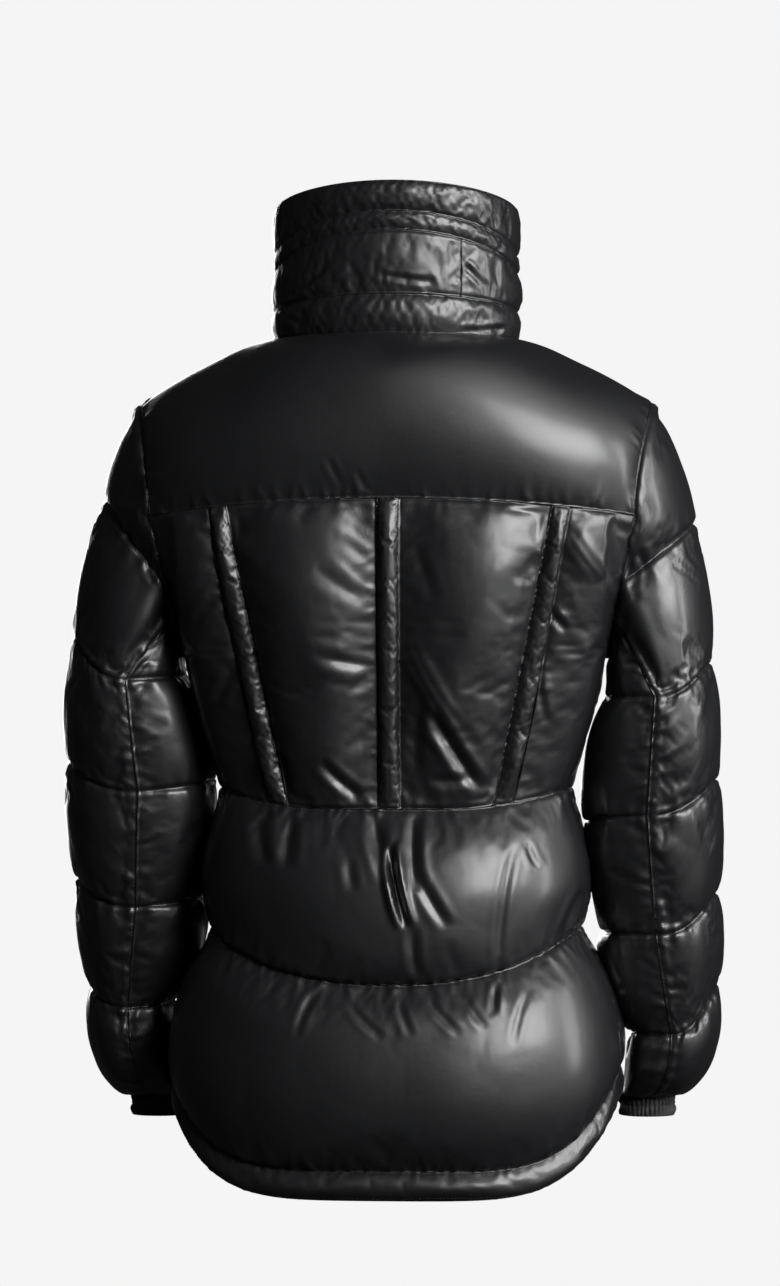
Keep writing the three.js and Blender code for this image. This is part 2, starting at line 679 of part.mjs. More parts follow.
// A point along a baffle. The one under the armpit rounds over, and the last one closes in late.
function bafflePoint(from, to, t, baffle, last, cosine) {
  const rounding = baffle === 1 ? -cosine : 0;
  if (rounding > 0) {
    const turn = (t * Math.PI) / 2;
    const round = from.clone().lerp(to, Math.sin(turn));
    round.z = lerp(from.z, to.z, 1 - Math.cos(turn));
    return from.clone().lerp(to, t).lerp(round, rounding);
  }
  if (baffle !== last) return from.clone().lerp(to, t);
  const late = 1 - Math.sqrt(1 - t * t);
  return new THREE.Vector3(lerp(from.x, to.x, late), lerp(from.y, to.y, late), lerp(from.z, to.z, t));
}

function sleeveCell(stations, baffle, t, column, across) {
  const last = stations.length - 2;
  const from = stations[baffle];
  const to = stations[baffle + 1];
  const angle = radians(column.angle);
  const cosine = Math.cos(angle);
  const sine = Math.sin(angle);
  const base = bafflePoint(from.point, to.point, t, baffle, last, cosine);
  const outward = from.outward.clone().lerp(to.outward, t).normalize();
  const crown = (cosine > 0 ? sleevePuffs.outer : sleevePuffs.inner) * cosine * cosine
    + (sine > 0 ? sleevePuffs.back : sleevePuffs.front) * sine * sine;
  const length = Math.min(1, from.point.distanceTo(to.point) / 70);
  const underArm = baffle === 1 && cosine < 0 ? t : 1;
  return { base, outward, puff: crown * length * underArm * rise(t) * rise(across, 0.3) };
}

function addSleeve(sideName, side) {
  const columns = sleeveColumns();
  for (const [name, list] of Object.entries(columns)) {
    const stations = list.map((column) => sleeveStations(sideName, side, column));
    const grid = [];
    const baffles = stations[0].length - 1;
    for (let baffle = 0; baffle < baffles; baffle += 1) {
      const rows = baffle === baffles - 1 ? [...baffleRows, 1] : baffleRows;
      for (const t of rows) {
        grid.push(list.map((column, k) => (
          sleeveCell(stations[k], baffle, t, column, k / (list.length - 1)))));
      }
    }
    addPiece(`sleeve_${name}_${sideName}`, wallGeometry(grid), 'nylon');
  }
}

function addCuff(sideName, side) {
  const rings = sleeveRings[sideName];
  const seam = rings[rings.length - 1];
  const centre = ringCentre(seam, side, seam.outerZ);
  const columns = cuff.ribs * 2;
  const grid = [0, 0.5, 1].map((t) => Array.from({ length: columns }, (_, k) => {
    const angle = (2 * Math.PI * k) / columns;
    const outward = new THREE.Vector3(Math.cos(angle), Math.sin(angle), 0);
    const base = centre.clone().addScaledVector(outward, cuff.half);
    base.z -= seamGap / 2 + cuff.height * t;
    return { base, outward, puff: k % 2 ? 0 : cuff.ribDepth * rise(0.25 + t / 2) };
  }));
  addPiece(`cuff_${sideName}`, wallGeometry(grid, clothWall, true), 'cuff');
}

// Zip tapes follow the middle of the front from the hem to the top of the collar
function zipPath() {
  const path = [];
  const middle = -Math.PI / 2;
  const bottom = torsoSeams.edge.front;
  const top = torsoSeams.yoke.front;
  const steps = 12;
  for (let k = 0; k <= steps; k += 1) path.push(torsoPoint(middle, lerp(bottom, top, k / steps)));
  const chest = path[path.length - 1];
  const throat = neckPoint(collarSeams[0], middle);
  for (const t of [...yokeRows].reverse().slice(1)) {
    const turn = (t * Math.PI) / 2;
    path.push(new THREE.Vector3(0, lerp(throat.y, chest.y, Math.sin(turn)),
      lerp(throat.z, chest.z, 1 - Math.cos(turn))));
  }
  for (const ring of collarSeams.slice(1)) path.push(neckPoint(ring, middle));
  return path;
}

function addZipTapes() {
  const path = zipPath();
  for (const [name, side] of [['left', 1], ['right', -1]]) {
    const grid = path.map((point) => [seamGap / 2, zip.half - seamGap].map((x) => {
      const outward = torsoOutward(point);
      if (point.z > collarSeams[0].front) outward.set(0, -1, 0);
      outward.x = 0;
      return { base: new THREE.Vector3(side * x, point.y, point.z), outward: outward.normalize(), puff: 0 };
    }));
    addPiece(`zip_tape_${name}`, wallGeometry(grid, tapeWall), 'tape');
  }
}

// A plate with rounded corners, drawn across and along the zip
function roundedShape(width, top, bottom, corner) {
  const half = width / 2;
  const shape = new THREE.Shape();
  shape.absarc(half - corner, top - corner, corner, 0, Math.PI / 2);
  shape.absarc(-half + corner, top - corner, corner, Math.PI / 2, Math.PI);
  shape.absarc(-half + corner, bottom + corner, corner, Math.PI, 1.5 * Math.PI);
  shape.absarc(half - corner, bottom + corner, corner, 1.5 * Math.PI, 2 * Math.PI);
  return shape;
}

function extruded(shape, depth) {
  return new THREE.ExtrudeGeometry(shape, { depth, bevelEnabled: false, curveSegments: 3 });
}

function solidOf(geometry) {
  geometry.deleteAttribute('normal');
  geometry.deleteAttribute('uv');
  const merged = mergeVertices(geometry, 1e-4);
  return new wasm.Manifold(new wasm.Mesh({
    numProp: 3,
    vertProperties: new Float32Array(merged.attributes.position.array),
    triVerts: new Uint32Array(merged.index.array),
  }));
}

// Two closed shapes made one
function joined(first, second) {
  const mesh = solidOf(first).add(solidOf(second)).getMesh();
  return closedGeometry(Array.from(mesh.vertProperties), Array.from(mesh.triVerts));
}

// The bridge is an arch along the zip, rooted in the slider's plate
function bridgeGeometry() {
  const foot = zip.plate - bridge.root;
  const inside = zip.plate + bridge.inside;
  const crown = inside + bridge.thickness;
  const outer = bridge.reach + bridge.thickness;
  const outline = [
    [-outer, foot], [-outer + bridge.slant, inside], [-bridge.reach, crown], [bridge.reach, crown],
    [outer - bridge.slant, inside], [outer, foot], [bridge.reach, foot], [bridge.reach - bridge.slant, inside],
    [-bridge.reach + bridge.slant, inside], [-bridge.reach, foot],
  ];
  const shape = new THREE.Shape(outline.map(([alongZip, up]) => new THREE.Vector2(alongZip, up)));
  const geometry = extruded(shape, bridge.width);
  geometry.translate(0, 0, -bridge.width / 2);
  const alongY = new THREE.Vector3(0, 1, 0);
  const upZ = new THREE.Vector3(0, 0, 1);
  const acrossX = new THREE.Vector3(1, 0, 0);
  geometry.applyMatrix4(new THREE.Matrix4().makeBasis(alongY, upZ, acrossX));
  return geometry;
}

// The pull tab hangs by its top bar, which lies under the bridge; the bridge's lower leg passes through its hole
function pullGeometry() {
  const top = pull.bar / 2;
  const shape = roundedShape(pull.width, top, -pull.length, plateCorner / 2);
  const half = pull.holeWidth / 2;
  const holeTop = -pull.bar / 2;
  const holeEnd = holeTop - pull.holeLength;
  const hole = [[-half, holeTop], [-half, holeEnd], [half, holeEnd], [half, holeTop]];
  shape.holes.push(new THREE.Path(hole.map(([x, y]) => new THREE.Vector2(x, y))));
  const geometry = extruded(shape, pull.thickness);
  geometry.translate(0, 0, -pull.thickness / 2);
  return geometry;
}

// Slider and pull tab stand off the tapes, turned so that their own +Z faces forwards
function addSlider() {
  const front = new THREE.Group();
  front.position.set(0, -neck.front - tapeWall - seamGap, zip.sliderHeight);
  front.rotation.x = Math.PI / 2;
  jacket.add(front);
  const half = zip.sliderLength / 2;
  const plate = extruded(roundedShape(zip.sliderWidth, half, -half, plateCorner), zip.plate);
  addPiece('zip_slider', joined(plate, bridgeGeometry()), 'metal', front);
  const tab = addPiece('zip_pull_tab', pullGeometry(), 'metal', front);
  tab.position.z = zip.plate + pull.rise;
}

addYokes();
addBack();
addFronts();
addCollar();
for (const [sideName, side] of [['left', 1], ['right', -1]]) {
  addSleeve(sideName, side);
  addCuff(sideName, side);
}
addZipTapes();
addSlider();

export default jacket;
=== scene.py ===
# A black hip-length padded jacket with a funnel collar: cloth, stitching, zip and studio
# Shapes are worked out in millimetres and turned into metres when a mesh is made.
# The back faces +Y, the zip faces -Y, and +X is the wearer's left.
import math
import bpy
import numpy as np
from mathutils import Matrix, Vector


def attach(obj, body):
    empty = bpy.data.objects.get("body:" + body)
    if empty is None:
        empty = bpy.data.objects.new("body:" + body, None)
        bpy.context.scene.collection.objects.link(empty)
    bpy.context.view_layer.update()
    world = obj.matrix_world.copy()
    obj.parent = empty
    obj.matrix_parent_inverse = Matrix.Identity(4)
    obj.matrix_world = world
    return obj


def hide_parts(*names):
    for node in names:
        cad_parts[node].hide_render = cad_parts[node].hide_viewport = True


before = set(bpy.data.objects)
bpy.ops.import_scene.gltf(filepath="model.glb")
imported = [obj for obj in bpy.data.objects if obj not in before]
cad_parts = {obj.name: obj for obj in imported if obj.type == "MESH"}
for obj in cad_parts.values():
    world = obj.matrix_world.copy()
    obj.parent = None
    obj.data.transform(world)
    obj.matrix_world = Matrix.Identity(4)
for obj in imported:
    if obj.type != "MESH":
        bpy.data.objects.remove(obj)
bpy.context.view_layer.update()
mm = 0.001

print("stage: sizes")

# Torso sections: height, half width, depth to the back and to the front
torsoPower = 2.4
torsoSections = [
    {"z": -138, "side": 240, "back": 106, "front": 98},
    {"z": -165, "side": 231, "back": 108, "front": 103},
    {"z": -214, "side": 203, "back": 107, "front": 108},
    {"z": -246, "side": 187, "back": 104, "front": 109},
    {"z": -270, "side": 178, "back": 101, "front": 107},
    {"z": -300, "side": 169, "back": 97, "front": 103},
    {"z": -345, "side": 157, "back": 91, "front": 97},
    {"z": -394, "side": 147, "back": 87, "front": 93},
    {"z": -425, "side": 151, "back": 91, "front": 96},
    {"z": -465, "side": 157, "back": 98, "front": 100},
    {"z": -508, "side": 156, "back": 103, "front": 102},
    {"z": -550, "side": 173, "back": 108, "front": 105},
    {"z": -600, "side": 186, "back": 114, "front": 108},
    {"z": -650, "side": 191, "back": 117, "front": 108},
    {"z": -735, "side": 188, "back": 113, "front": 103},
]

# Seams round the torso: middle back, side and middle front heights, where each starts to rise and how fast
torsoSeams = {
    "yoke": {"back": -140, "side": -158, "front": -165, "start": 0, "power": 2},
    "waist": {"back": -402, "side": -386, "front": -398, "start": 0.3, "power": 2},
    "lower": {"back": -549, "side": -505, "front": -540, "start": 0, "power": 2.2},
    "hem": {"back": -705, "side": -624, "front": -684, "start": 0, "power": 5.5},
    "edge": {"back": -730, "side": -648, "front": -709, "start": 0, "power": 5.5},
}

armhole = [
    {"z": -140, "half": 207},
    {"z": -158, "half": 204},
    {"z": -193, "half": 196},
    {"z": -214, "half": 192},
    {"z": -246, "half": 185},
    {"z": -268, "half": 178.5},
]
armpitHeight = -268
armholeCentre = np.array([204.0, 0.0, -150.0])
shoulder = {"end": 218, "drop": 0.47, "seamRise": 0.2, "reach": 60, "spreadOut": 2.6, "spreadNeck": 1.1}
yokeFall = {"back": 0.08, "front": 0.45}
neck = {"half": 101, "back": 73, "front": 80, "backPower": 1.2, "frontPower": 2}
collarSeams = [
    {"back": 0, "side": -3, "front": -58},
    {"back": 34, "side": 22, "front": -26},
    {"back": 88, "side": 54, "front": 34},
    {"back": 104, "side": 70, "front": 62},
    {"back": 130, "side": 110, "front": 98},
]
channels = {"outerTop": 153, "innerTop": 138, "outerWaist": 101, "innerWaist": 85, "centre": 9}
zipSizes = {"half": 6, "reach": 35, "sliderHeight": 80, "tapeWall": 1.5}

# Sleeve rings from the second quilting seam to the cuff
sleeveRings = {
    "left": [
        {"outerZ": -254, "backZ": -293, "innerZ": -290, "frontZ": -268,
         "outer": 274, "inner": 187, "back": 47, "front": -58},
        {"outerZ": -363, "backZ": -389, "innerZ": -380, "frontZ": -366,
         "outer": 281, "inner": 163, "back": 36, "front": -72},
        {"outerZ": -465, "backZ": -489, "innerZ": -482, "frontZ": -470,
         "outer": 276, "inner": 176, "back": 14, "front": -90},
        {"outerZ": -561, "backZ": -577, "innerZ": -573, "frontZ": -564,
         "outer": 266, "inner": 203, "back": -10, "front": -102},
        {"outerZ": -656, "backZ": -656, "innerZ": -656, "frontZ": -656,
         "outer": 235, "inner": 191, "back": -46, "front": -92},
    ],
    "right": [
        {"outerZ": -279, "backZ": -308, "innerZ": -308, "frontZ": -286,
         "outer": 265, "inner": 185, "back": 49, "front": -54},
        {"outerZ": -379, "backZ": -408, "innerZ": -414, "frontZ": -386,
         "outer": 270, "inner": 168, "back": 38, "front": -70},
        {"outerZ": -478, "backZ": -511, "innerZ": -510, "frontZ": -485,
         "outer": 270, "inner": 181, "back": 16, "front": -88},
        {"outerZ": -557, "backZ": -598, "innerZ": -596, "frontZ": -566,
         "outer": 270, "inner": 205, "back": -10, "front": -102},
        {"outerZ": -654, "backZ": -654, "innerZ": -654, "frontZ": -654,
         "outer": 236, "inner": 192, "back": -46, "front": -92},
    ],
}
sleeve = {"power": 2.2, "capMerge": 7, "capSliver": 6, "armpitSpread": 2.2, "lastBack": 8, "lowest": 10}
capSeam = {"left": {"outer": 247, "z": -138}, "right": {"outer": 252, "z": -160}}
sleeveAngles = {"back": 92, "under": 180, "front": -80}
yokeRows = [0, 0.12, 0.32, 0.56, 0.82, 1]
chestRows = [0, 0.1, 0.23, 0.36, 0.43, 0.49, 0.62, 0.78, 0.92, 1]
armpitRow = 5
backColumns = {"shoulder": 5, "sideTo": 5, "channelTo": 6, "centreTo": 11, "middleTo": 12, "count": 23}
frontColumns = {"shoulder": 5, "count": 10}


def lerp(low, high, t):
    return low + (high - low) * t


def smooth(value, low, high):
    t = np.clip((value - low) / (high - low), 0, 1)
    return t * t * (3 - 2 * t)


def unit(vectors):
    return vectors / np.maximum(np.linalg.norm(vectors, axis=-1, keepdims=True), 1e-9)


def signedPower(value, power):
    return np.sign(value) * np.abs(value) ** power


# A smooth value between the rows of a table whose heights go downwards
def along(table, column, z):
    heights = np.array([row["z"] for row in table], float)
    values = np.array([row[column] for row in table], float)
    z = np.asarray(z, float)
    row = np.searchsorted(-heights[1:-1], -z)
    before = np.maximum(row - 1, 0)
    after = np.minimum(row + 2, len(table) - 1)
    span = heights[row + 1] - heights[row]
    t = np.clip((z - heights[row]) / span, 0, 1)
    slopeIn = (values[row + 1] - values[before]) / (heights[row + 1] - heights[before]) * span
    slopeOut = (values[after] - values[row]) / (heights[after] - heights[row]) * span
    return ((2 * t**3 - 3 * t**2 + 1) * values[row] + (t**3 - 2 * t**2 + t) * slopeIn
            + (3 * t**2 - 2 * t**3) * values[row + 1] + (t**3 - t**2) * slopeOut)


# A point round the torso: angle 0 at the wearer's left side, 90 degrees at the back
def torsoPoint(angle, z):
    angle, z = np.broadcast_arrays(angle, z)
    sine = np.sin(angle)
    depth = np.where(sine >= 0, along(torsoSections, "back", z), along(torsoSections, "front", z))
    x = along(torsoSections, "side", z) * signedPower(np.cos(angle), 2 / torsoPower)
    return np.stack([x, depth * signedPower(sine, 2 / torsoPower), z], -1)


def angleAcross(x, z):
    share = np.clip(np.abs(x) / along(torsoSections, "side", z), 0, 1)
    return np.arccos(share ** (torsoPower / 2))


def seamHeight(seam, angle):
    across = np.abs(np.cos(angle)) ** (2 / torsoPower)
    middle = np.where(np.sin(angle) >= 0, seam["back"], seam["front"])
    rise = np.maximum(0, (across - seam["start"]) / (1 - seam["start"])) ** seam["power"]
    return lerp(middle, seam["side"], rise)


def armholeAngle(z):
    return np.where(z > armpitHeight + 0.01, angleAcross(along(armhole, "half", z), z), 0)


def backAngle(column, z):
    column, z = np.broadcast_arrays(np.asarray(column, float), z)
    count = backColumns["count"]
    mirrored = column > count / 2
    index = np.where(mirrored, count - column, column)
    top, waist = torsoSeams["yoke"]["back"], torsoSeams["waist"]["back"]
    fall = np.clip((z - top) / (waist - top), 0, 1)
    level = np.maximum(z, waist)
    outer = angleAcross(lerp(channels["outerTop"], channels["outerWaist"], fall), level)
    inner = angleAcross(lerp(channels["innerTop"], channels["innerWaist"], fall), level)
    middle = angleAcross(channels["centre"], level)
    sideTo, channelTo, centreTo = (backColumns[name] for name in ("sideTo", "channelTo", "centreTo"))
    angle = lerp(armholeAngle(z), outer, index / sideTo)
    angle = np.where(index > sideTo, lerp(outer, inner, index - sideTo), angle)
    across = (index - channelTo) / (centreTo - channelTo)
    angle = np.where(index > channelTo, lerp(inner, middle, across), angle)
    angle = np.where(index > centreTo, lerp(middle, math.pi - middle, index - centreTo), angle)
    return np.where(mirrored, math.pi - angle, angle)


def frontAngle(column, z, side):
    zipAngle = np.arccos((zipSizes["half"] / along(torsoSections, "side", z)) ** (torsoPower / 2))
    angle = lerp(armholeAngle(z), zipAngle, column / frontColumns["count"])
    return -angle if side > 0 else math.pi + angle


# Where a seam crosses each column, found by stepping towards it
def crossing(seam, angleAt, columns):
    z = np.full(np.shape(columns), float(seam["back"]))
    for step in range(12):
        z = seamHeight(seam, angleAt(columns, z))
    return z


def neckPoint(ring, angle):
    sine = np.sin(angle)
    end = np.where(sine >= 0, ring["back"], ring["front"])
    power = np.where(sine >= 0, neck["backPower"], neck["frontPower"])
    z = lerp(ring["side"], end, np.abs(sine) ** power)
    depth = np.where(sine >= 0, neck["back"], neck["front"])
    return np.stack([neck["half"] * np.cos(angle), depth * sine, z], -1)


def torsoOutward(point):
    high = smooth(point[..., 2], -250, -100)
    core = np.stack([point[..., 0] * lerp(0.45, 0.75, high), 0 * high, np.minimum(point[..., 2], -118)], -1)
    return unit(point - core)


def armholeOutward(point):
    low = smooth(-point[..., 2], 200, 268)[..., None]
    centre = np.stack([armholeCentre[0] * np.sign(point[..., 0]), 0 * point[..., 1],
                       np.minimum(point[..., 2], armholeCentre[2])], -1)
    lean = np.stack([0 * point[..., 0], 0.35 * np.sign(point[..., 1]), 0 * point[..., 2]], -1)
    return unit((torsoOutward(point) + unit(point - centre) + lean) * (1 - low) + low * np.array([0, 0, -1.0]))


# How the padding rises between two seams and away from a free edge
def rise(t, floor=0.0):
    return np.maximum(floor, (4 * np.clip(t * (1 - t), 0, 1)) ** 0.6)


def edgeRise(distance, reach):
    share = np.clip(distance / reach, 0, 1)
    return (1 - (1 - share) ** 2) ** 0.6


def underArmRise(across):
    return np.where(across < 0.5, (2 * np.minimum(across, 0.5)) ** 2.4, rise(across))


# Yoke: columns run from the neck or the shoulder seam over the back or the chest
def yokeTop(columns, count, shoulderCount, front):
    fromFar = (columns > count / 2) & (not front)
    index = np.where(fromFar, count - columns, columns)
    neckSide = collarSeams[0]["side"]
    x = lerp(shoulder["end"], neck["half"], index / shoulderCount)
    z = neckSide - shoulder["drop"] * (x - neck["half"])
    shoulderLine = np.stack([np.where(fromFar, -x, x), 0 * x, z], -1)
    neckCells = count - shoulderCount if front else count - 2 * shoulderCount
    sweep = math.acos(zipSizes["half"] / neck["half"]) if front else math.pi
    angle = np.clip(sweep * (columns - shoulderCount) / neckCells, 0, sweep)
    neckLine = neckPoint(collarSeams[0], -angle if front else angle)
    return np.where((index <= shoulderCount)[:, None], shoulderLine, neckLine)


def yokeSurface(front, side, puff):
    columnsOf = frontColumns if front else backColumns
    count, shoulderCount = columnsOf["count"], columnsOf["shoulder"]

    def angleAt(columns, z):
        if front:
            return frontAngle(columns, z, side)
        corner = armholeAngle(z)
        return lerp(corner, math.pi - corner, columns / count)

    def surface(columns, rows):
        top = yokeTop(columns, count, shoulderCount, front)
        if side < 0:
            top = top * np.array([-1, 1, 1])
        seamZ = crossing(torsoSeams["yoke"], angleAt, columns)
        bottom = torsoPoint(angleAt(columns, seamZ), seamZ)
        t = rows[:, None]
        turn = t * math.pi / 2
        straight = yokeFall["back"] + 0 * columns
        if front:
            near = np.clip((columns - shoulderCount) / (count - shoulderCount), 0, 1) ** 0.5
            straight = lerp(yokeFall["back"], yokeFall["front"], near)
        fall = lerp(1 - np.cos(turn), t, straight)
        edge = columns if front else np.minimum(columns, count - columns)
        fromShoulder = np.clip(edge / shoulderCount, 0, 1)
        spread = lerp(shoulder["spreadOut"], shoulder["spreadNeck"], fromShoulder)
        x = lerp(top[:, 0], bottom[:, 0], np.sin(turn) ** spread)
        y = lerp(top[:, 1], bottom[:, 1], np.sin(turn))
        base = np.stack([x, y, lerp(top[:, 2], bottom[:, 2], fall)], -1)
        outward = torsoOutward(base)
        atNeck = smooth(fromShoulder, 0.98, 1.0) * (1 - smooth(t, 0, 0.06))
        around = unit(np.stack([base[..., 0] / neck["half"], base[..., 1] / neck["back"], 0 * t + 0 * x], -1))
        outward = unit(outward + around * atNeck[..., None])
        atArm = (1 - smooth(edge, 0, 0.25))[None, :, None]
        outward = unit(lerp(outward, armholeOutward(base), atArm))
        neckColumn = smooth(fromShoulder, 0.8, 1.0)
        seamRise = lerp(np.maximum(rise(t), shoulder["seamRise"]), rise(t) ** 3, neckColumn)
        seamRise = np.where(t < 0.5, seamRise, rise(t))
        reach = lerp(shoulder["end"], armhole[0]["half"], t) - np.abs(x)
        lift = puff * seamRise * edgeRise(reach, shoulder["reach"])
        if front:
            lift = lift * edgeRise(np.abs(x) - zipSizes["half"], zipSizes["reach"])
        return base, outward, lift

    return surface


# Torso panels: rows run from one seam to the next, and the chest's pass through the armpit's level
def torsoSurface(seams, angleAt, padding, first, last):
    def surface(columns, rows):
        top = crossing(torsoSeams[seams[0]], angleAt, columns)
        bottom = crossing(torsoSeams[seams[1]], angleAt, columns)
        t = rows[:, None]
        z = lerp(top, bottom, t)
        if seams[0] == "yoke":
            share = chestRows[armpitRow]
            z = np.where(t < share, lerp(top, armpitHeight, t / share),
                         lerp(armpitHeight, bottom, (t - share) / (1 - share)))
        base = torsoPoint(angleAt(columns[None, :], z), z)
        outward = torsoOutward(base)
        across = (columns - first) / (last - first)
        fall = np.clip((top - z) / (top - bottom), 0, 1)
        return base, outward, padding(fall, across[None, :], base)

    return surface


def collarSurface(lowerRing, upperRing, puff, first, last):
    def surface(angles, rows):
        t = rows[:, None]
        lower = neckPoint(collarSeams[lowerRing], angles)
        upper = neckPoint(collarSeams[upperRing], angles)
        base = lower[None] + (upper - lower)[None] * t[..., None]
        outward = np.broadcast_to(np.stack([np.cos(angles), np.sin(angles), 0 * angles], -1), base.shape)
        seamRise = np.where(t < 0.5, rise(t) ** 2, rise(t)) if lowerRing == 0 else rise(t)
        across = (angles - first) / (last - first)
        return base, outward, puff * seamRise * rise(across, 0.25)[None, :]

    return surface


# Armhole points from the shoulder (index 0) down the back or the front to the armpit (index 10)
def armholePoint(side, front, index):
    lastYoke = len(yokeRows) - 1
    if index < lastYoke:
        surface = yokeSurface(front, side if front else 1, 0)
        column = 0 if front or side > 0 else backColumns["count"]
        return surface(np.array([float(column)]), np.array([yokeRows[index]]))[0][0, 0]
    column = np.array([0.0 if front or side > 0 else float(backColumns["count"])])

    def angleAt(columns, z):
        return frontAngle(columns, z, side) if front else backAngle(columns, z)

    surface = torsoSurface(["yoke", "waist"], angleAt, lambda t, across, base: 0 * t, 0, 1)
    return surface(column, np.array([chestRows[index - lastYoke]]))[0][0, 0]


def ringPoint(ring, side, angle):
    cosine, sine = math.cos(angle), math.sin(angle)
    z = ((ring["outerZ"] if cosine > 0 else ring["innerZ"]) * cosine * cosine
         + (ring["backZ"] if sine > 0 else ring["frontZ"]) * sine * sine)
    middle = np.array([(ring["outer"] + ring["inner"]) / 2, (ring["back"] + ring["front"]) / 2])
    half = np.array([(ring["outer"] - ring["inner"]) / 2, (ring["back"] - ring["front"]) / 2])
    round = np.array([signedPower(cosine, 2 / sleeve["power"]), signedPower(sine, 2 / sleeve["power"])])
    x, y = middle + half * round
    return np.array([side * x, y, z])


def ringCentre(ring, side, z):
    return np.array([side * (ring["outer"] + ring["inner"]) / 2, (ring["back"] + ring["front"]) / 2, z])


def capPoint(sideName, side, front, index, following):
    start = armholePoint(side, front, index)
    if index >= sleeve["capMerge"]:
        sliver = start + (following - start) * sleeve["capSliver"] / np.linalg.norm(following - start)
        sliver[0] += side * sleeve["armpitSpread"] * (index - sleeve["capMerge"])
        return sliver
    merge = armholePoint(side, front, sleeve["capMerge"])
    turn = index / sleeve["capMerge"] * math.pi / 2
    cap = capSeam[sideName]
    reach = cap["outer"] - abs(merge[0]) - 3
    x = abs(merge[0]) + 3 + reach * math.cos(turn)
    z = lerp(cap["z"], merge[2] - sleeve["capSliver"] * 0.7, (index / sleeve["capMerge"]) ** 1.6)
    return np.array([side * x, merge[1] * math.sin(turn), z])


# Stations of the sleeve's twenty columns, from the shoulder round the back to the armpit and up the front
def sleeveStations(sideName, side):
    lowest, lastBack = sleeve["lowest"], sleeve["lastBack"]
    points, outwards = [], []
    for column in range(2 * lowest):
        front = column > lowest
        index = 2 * lowest - column if front else column
        seamAngle = sleeveAngles["front"] if front else sleeveAngles["back"]
        underAngle = -sleeveAngles["under"] if front else sleeveAngles["under"]
        below = (index - lastBack) / (lowest - lastBack)
        degrees = seamAngle * index / lastBack if index <= lastBack else lerp(seamAngle, underAngle, below)
        angle = math.radians(degrees)
        rings = [ringPoint(ring, side, angle) for ring in sleeveRings[sideName]]
        start = armholePoint(side, front, index)
        cap = capPoint(sideName, side, front, index, rings[0])
        centre = armholeCentre * np.array([side, 1, 1])
        centre[2] = min(cap[2], centre[2])
        ringOut = [unit(point - ringCentre(ring, side, point[2]))
                   for point, ring in zip(rings, sleeveRings[sideName])]
        points.append([start, cap, *rings])
        outwards.append([armholeOutward(start), unit(cap - centre), *ringOut])
    return np.array(points), unit(np.array(outwards))


# A smooth closed curve through values that repeat round a ring
def ringSpline(values, at):
    count = len(values)
    cell = np.floor(at).astype(int)
    t = (at - cell).reshape((-1,) + (1,) * (values.ndim - 1))
    p0, p1, p2, p3 = (values[(cell + step) % count] for step in (-1, 0, 1, 2))
    return 0.5 * (2 * p1 + (p2 - p0) * t + (2 * p0 - 5 * p1 + 4 * p2 - p3) * t**2
                  + (3 * p1 - p0 - 3 * p2 + p3) * t**3)


sleevePuffs = {"outer": 9, "back": 14, "front": 12, "inner": {"left": [7, 7, 9, 7, 17, 7],
                                                                "right": [7, 7, 15, 9, 17, 7]}}


def sleeveSurface(sideName, side, first, last):
    points, outwards = sleeveStations(sideName, side)
    baffles = points.shape[1] - 1
    lowest, lastBack = sleeve["lowest"], sleeve["lastBack"]

    def surface(columns, rows):
        at = columns % (2 * lowest)
        front = at > lowest
        index = np.where(front, 2 * lowest - at, at)
        seamAngle = np.where(front, sleeveAngles["front"], sleeveAngles["back"])
        underAngle = np.where(front, -sleeveAngles["under"], sleeveAngles["under"])
        below = np.clip((index - lastBack) / (lowest - lastBack), 0, 1)
        degrees = np.where(index <= lastBack, seamAngle * index / lastBack, lerp(seamAngle, underAngle, below))
        cosine, sine = np.cos(np.radians(degrees)), np.sin(np.radians(degrees))
        stations = ringSpline(points, at)
        directions = unit(ringSpline(outwards, at))
        across = rise((columns - first) / (last - first), 0.3)
        base = np.zeros((len(rows), len(columns), 3))
        outward = np.zeros_like(base)
        lift = np.zeros(base.shape[:2])
        for k, row in enumerate(rows):
            baffle = min(int(row), baffles - 1)
            t = row - baffle
            start, end = stations[:, baffle], stations[:, baffle + 1]
            base[k] = start + (end - start) * t
            if baffle == 1:
                turn = t * math.pi / 2
                rounded = start + (end - start) * math.sin(turn)
                rounded[:, 2] = lerp(start[:, 2], end[:, 2], 1 - math.cos(turn))
                base[k] += (rounded - base[k]) * np.maximum(-cosine, 0)[:, None]
            if baffle == baffles - 1:
                late = 1 - math.sqrt(max(0, 1 - t * t))
                base[k, :, :2] = (start + (end - start) * late)[:, :2]
            outward[k] = directions[:, baffle] * (1 - t) + directions[:, baffle + 1] * t
            inner = sleevePuffs["inner"][sideName][baffle]
            crown = (np.where(cosine > 0, sleevePuffs["outer"], inner) * cosine**2
                     + np.where(sine > 0, sleevePuffs["back"], sleevePuffs["front"]) * sine**2)
            length = np.minimum(1, np.linalg.norm(end - start, axis=-1) / 70)
            underArm = np.where(cosine < 0, t, 1) if baffle == 1 else 1
            lift[k] = crown * length * underArm * rise(t) * across
        return base, unit(outward), lift

    return surface


print("stage: panels")

cloth = {"spacing": 4.0, "seamLift": 2.4, "startShare": 0.86, "edgeGap": 0.1}
padded = {
    "yoke": 17, "backCentre": 20, "backSide": 15, "channel": 9, "waistBand": 24, "lowerBand": 25, "hemBand": 9,
    "frontYoke": 15, "frontChest": 17, "frontWaist": 19, "frontLower": 22,
    "collarBase": 4.5, "collarMiddle": 5, "collarStrip": 2.5, "collarTop": 4,
}
panels = []


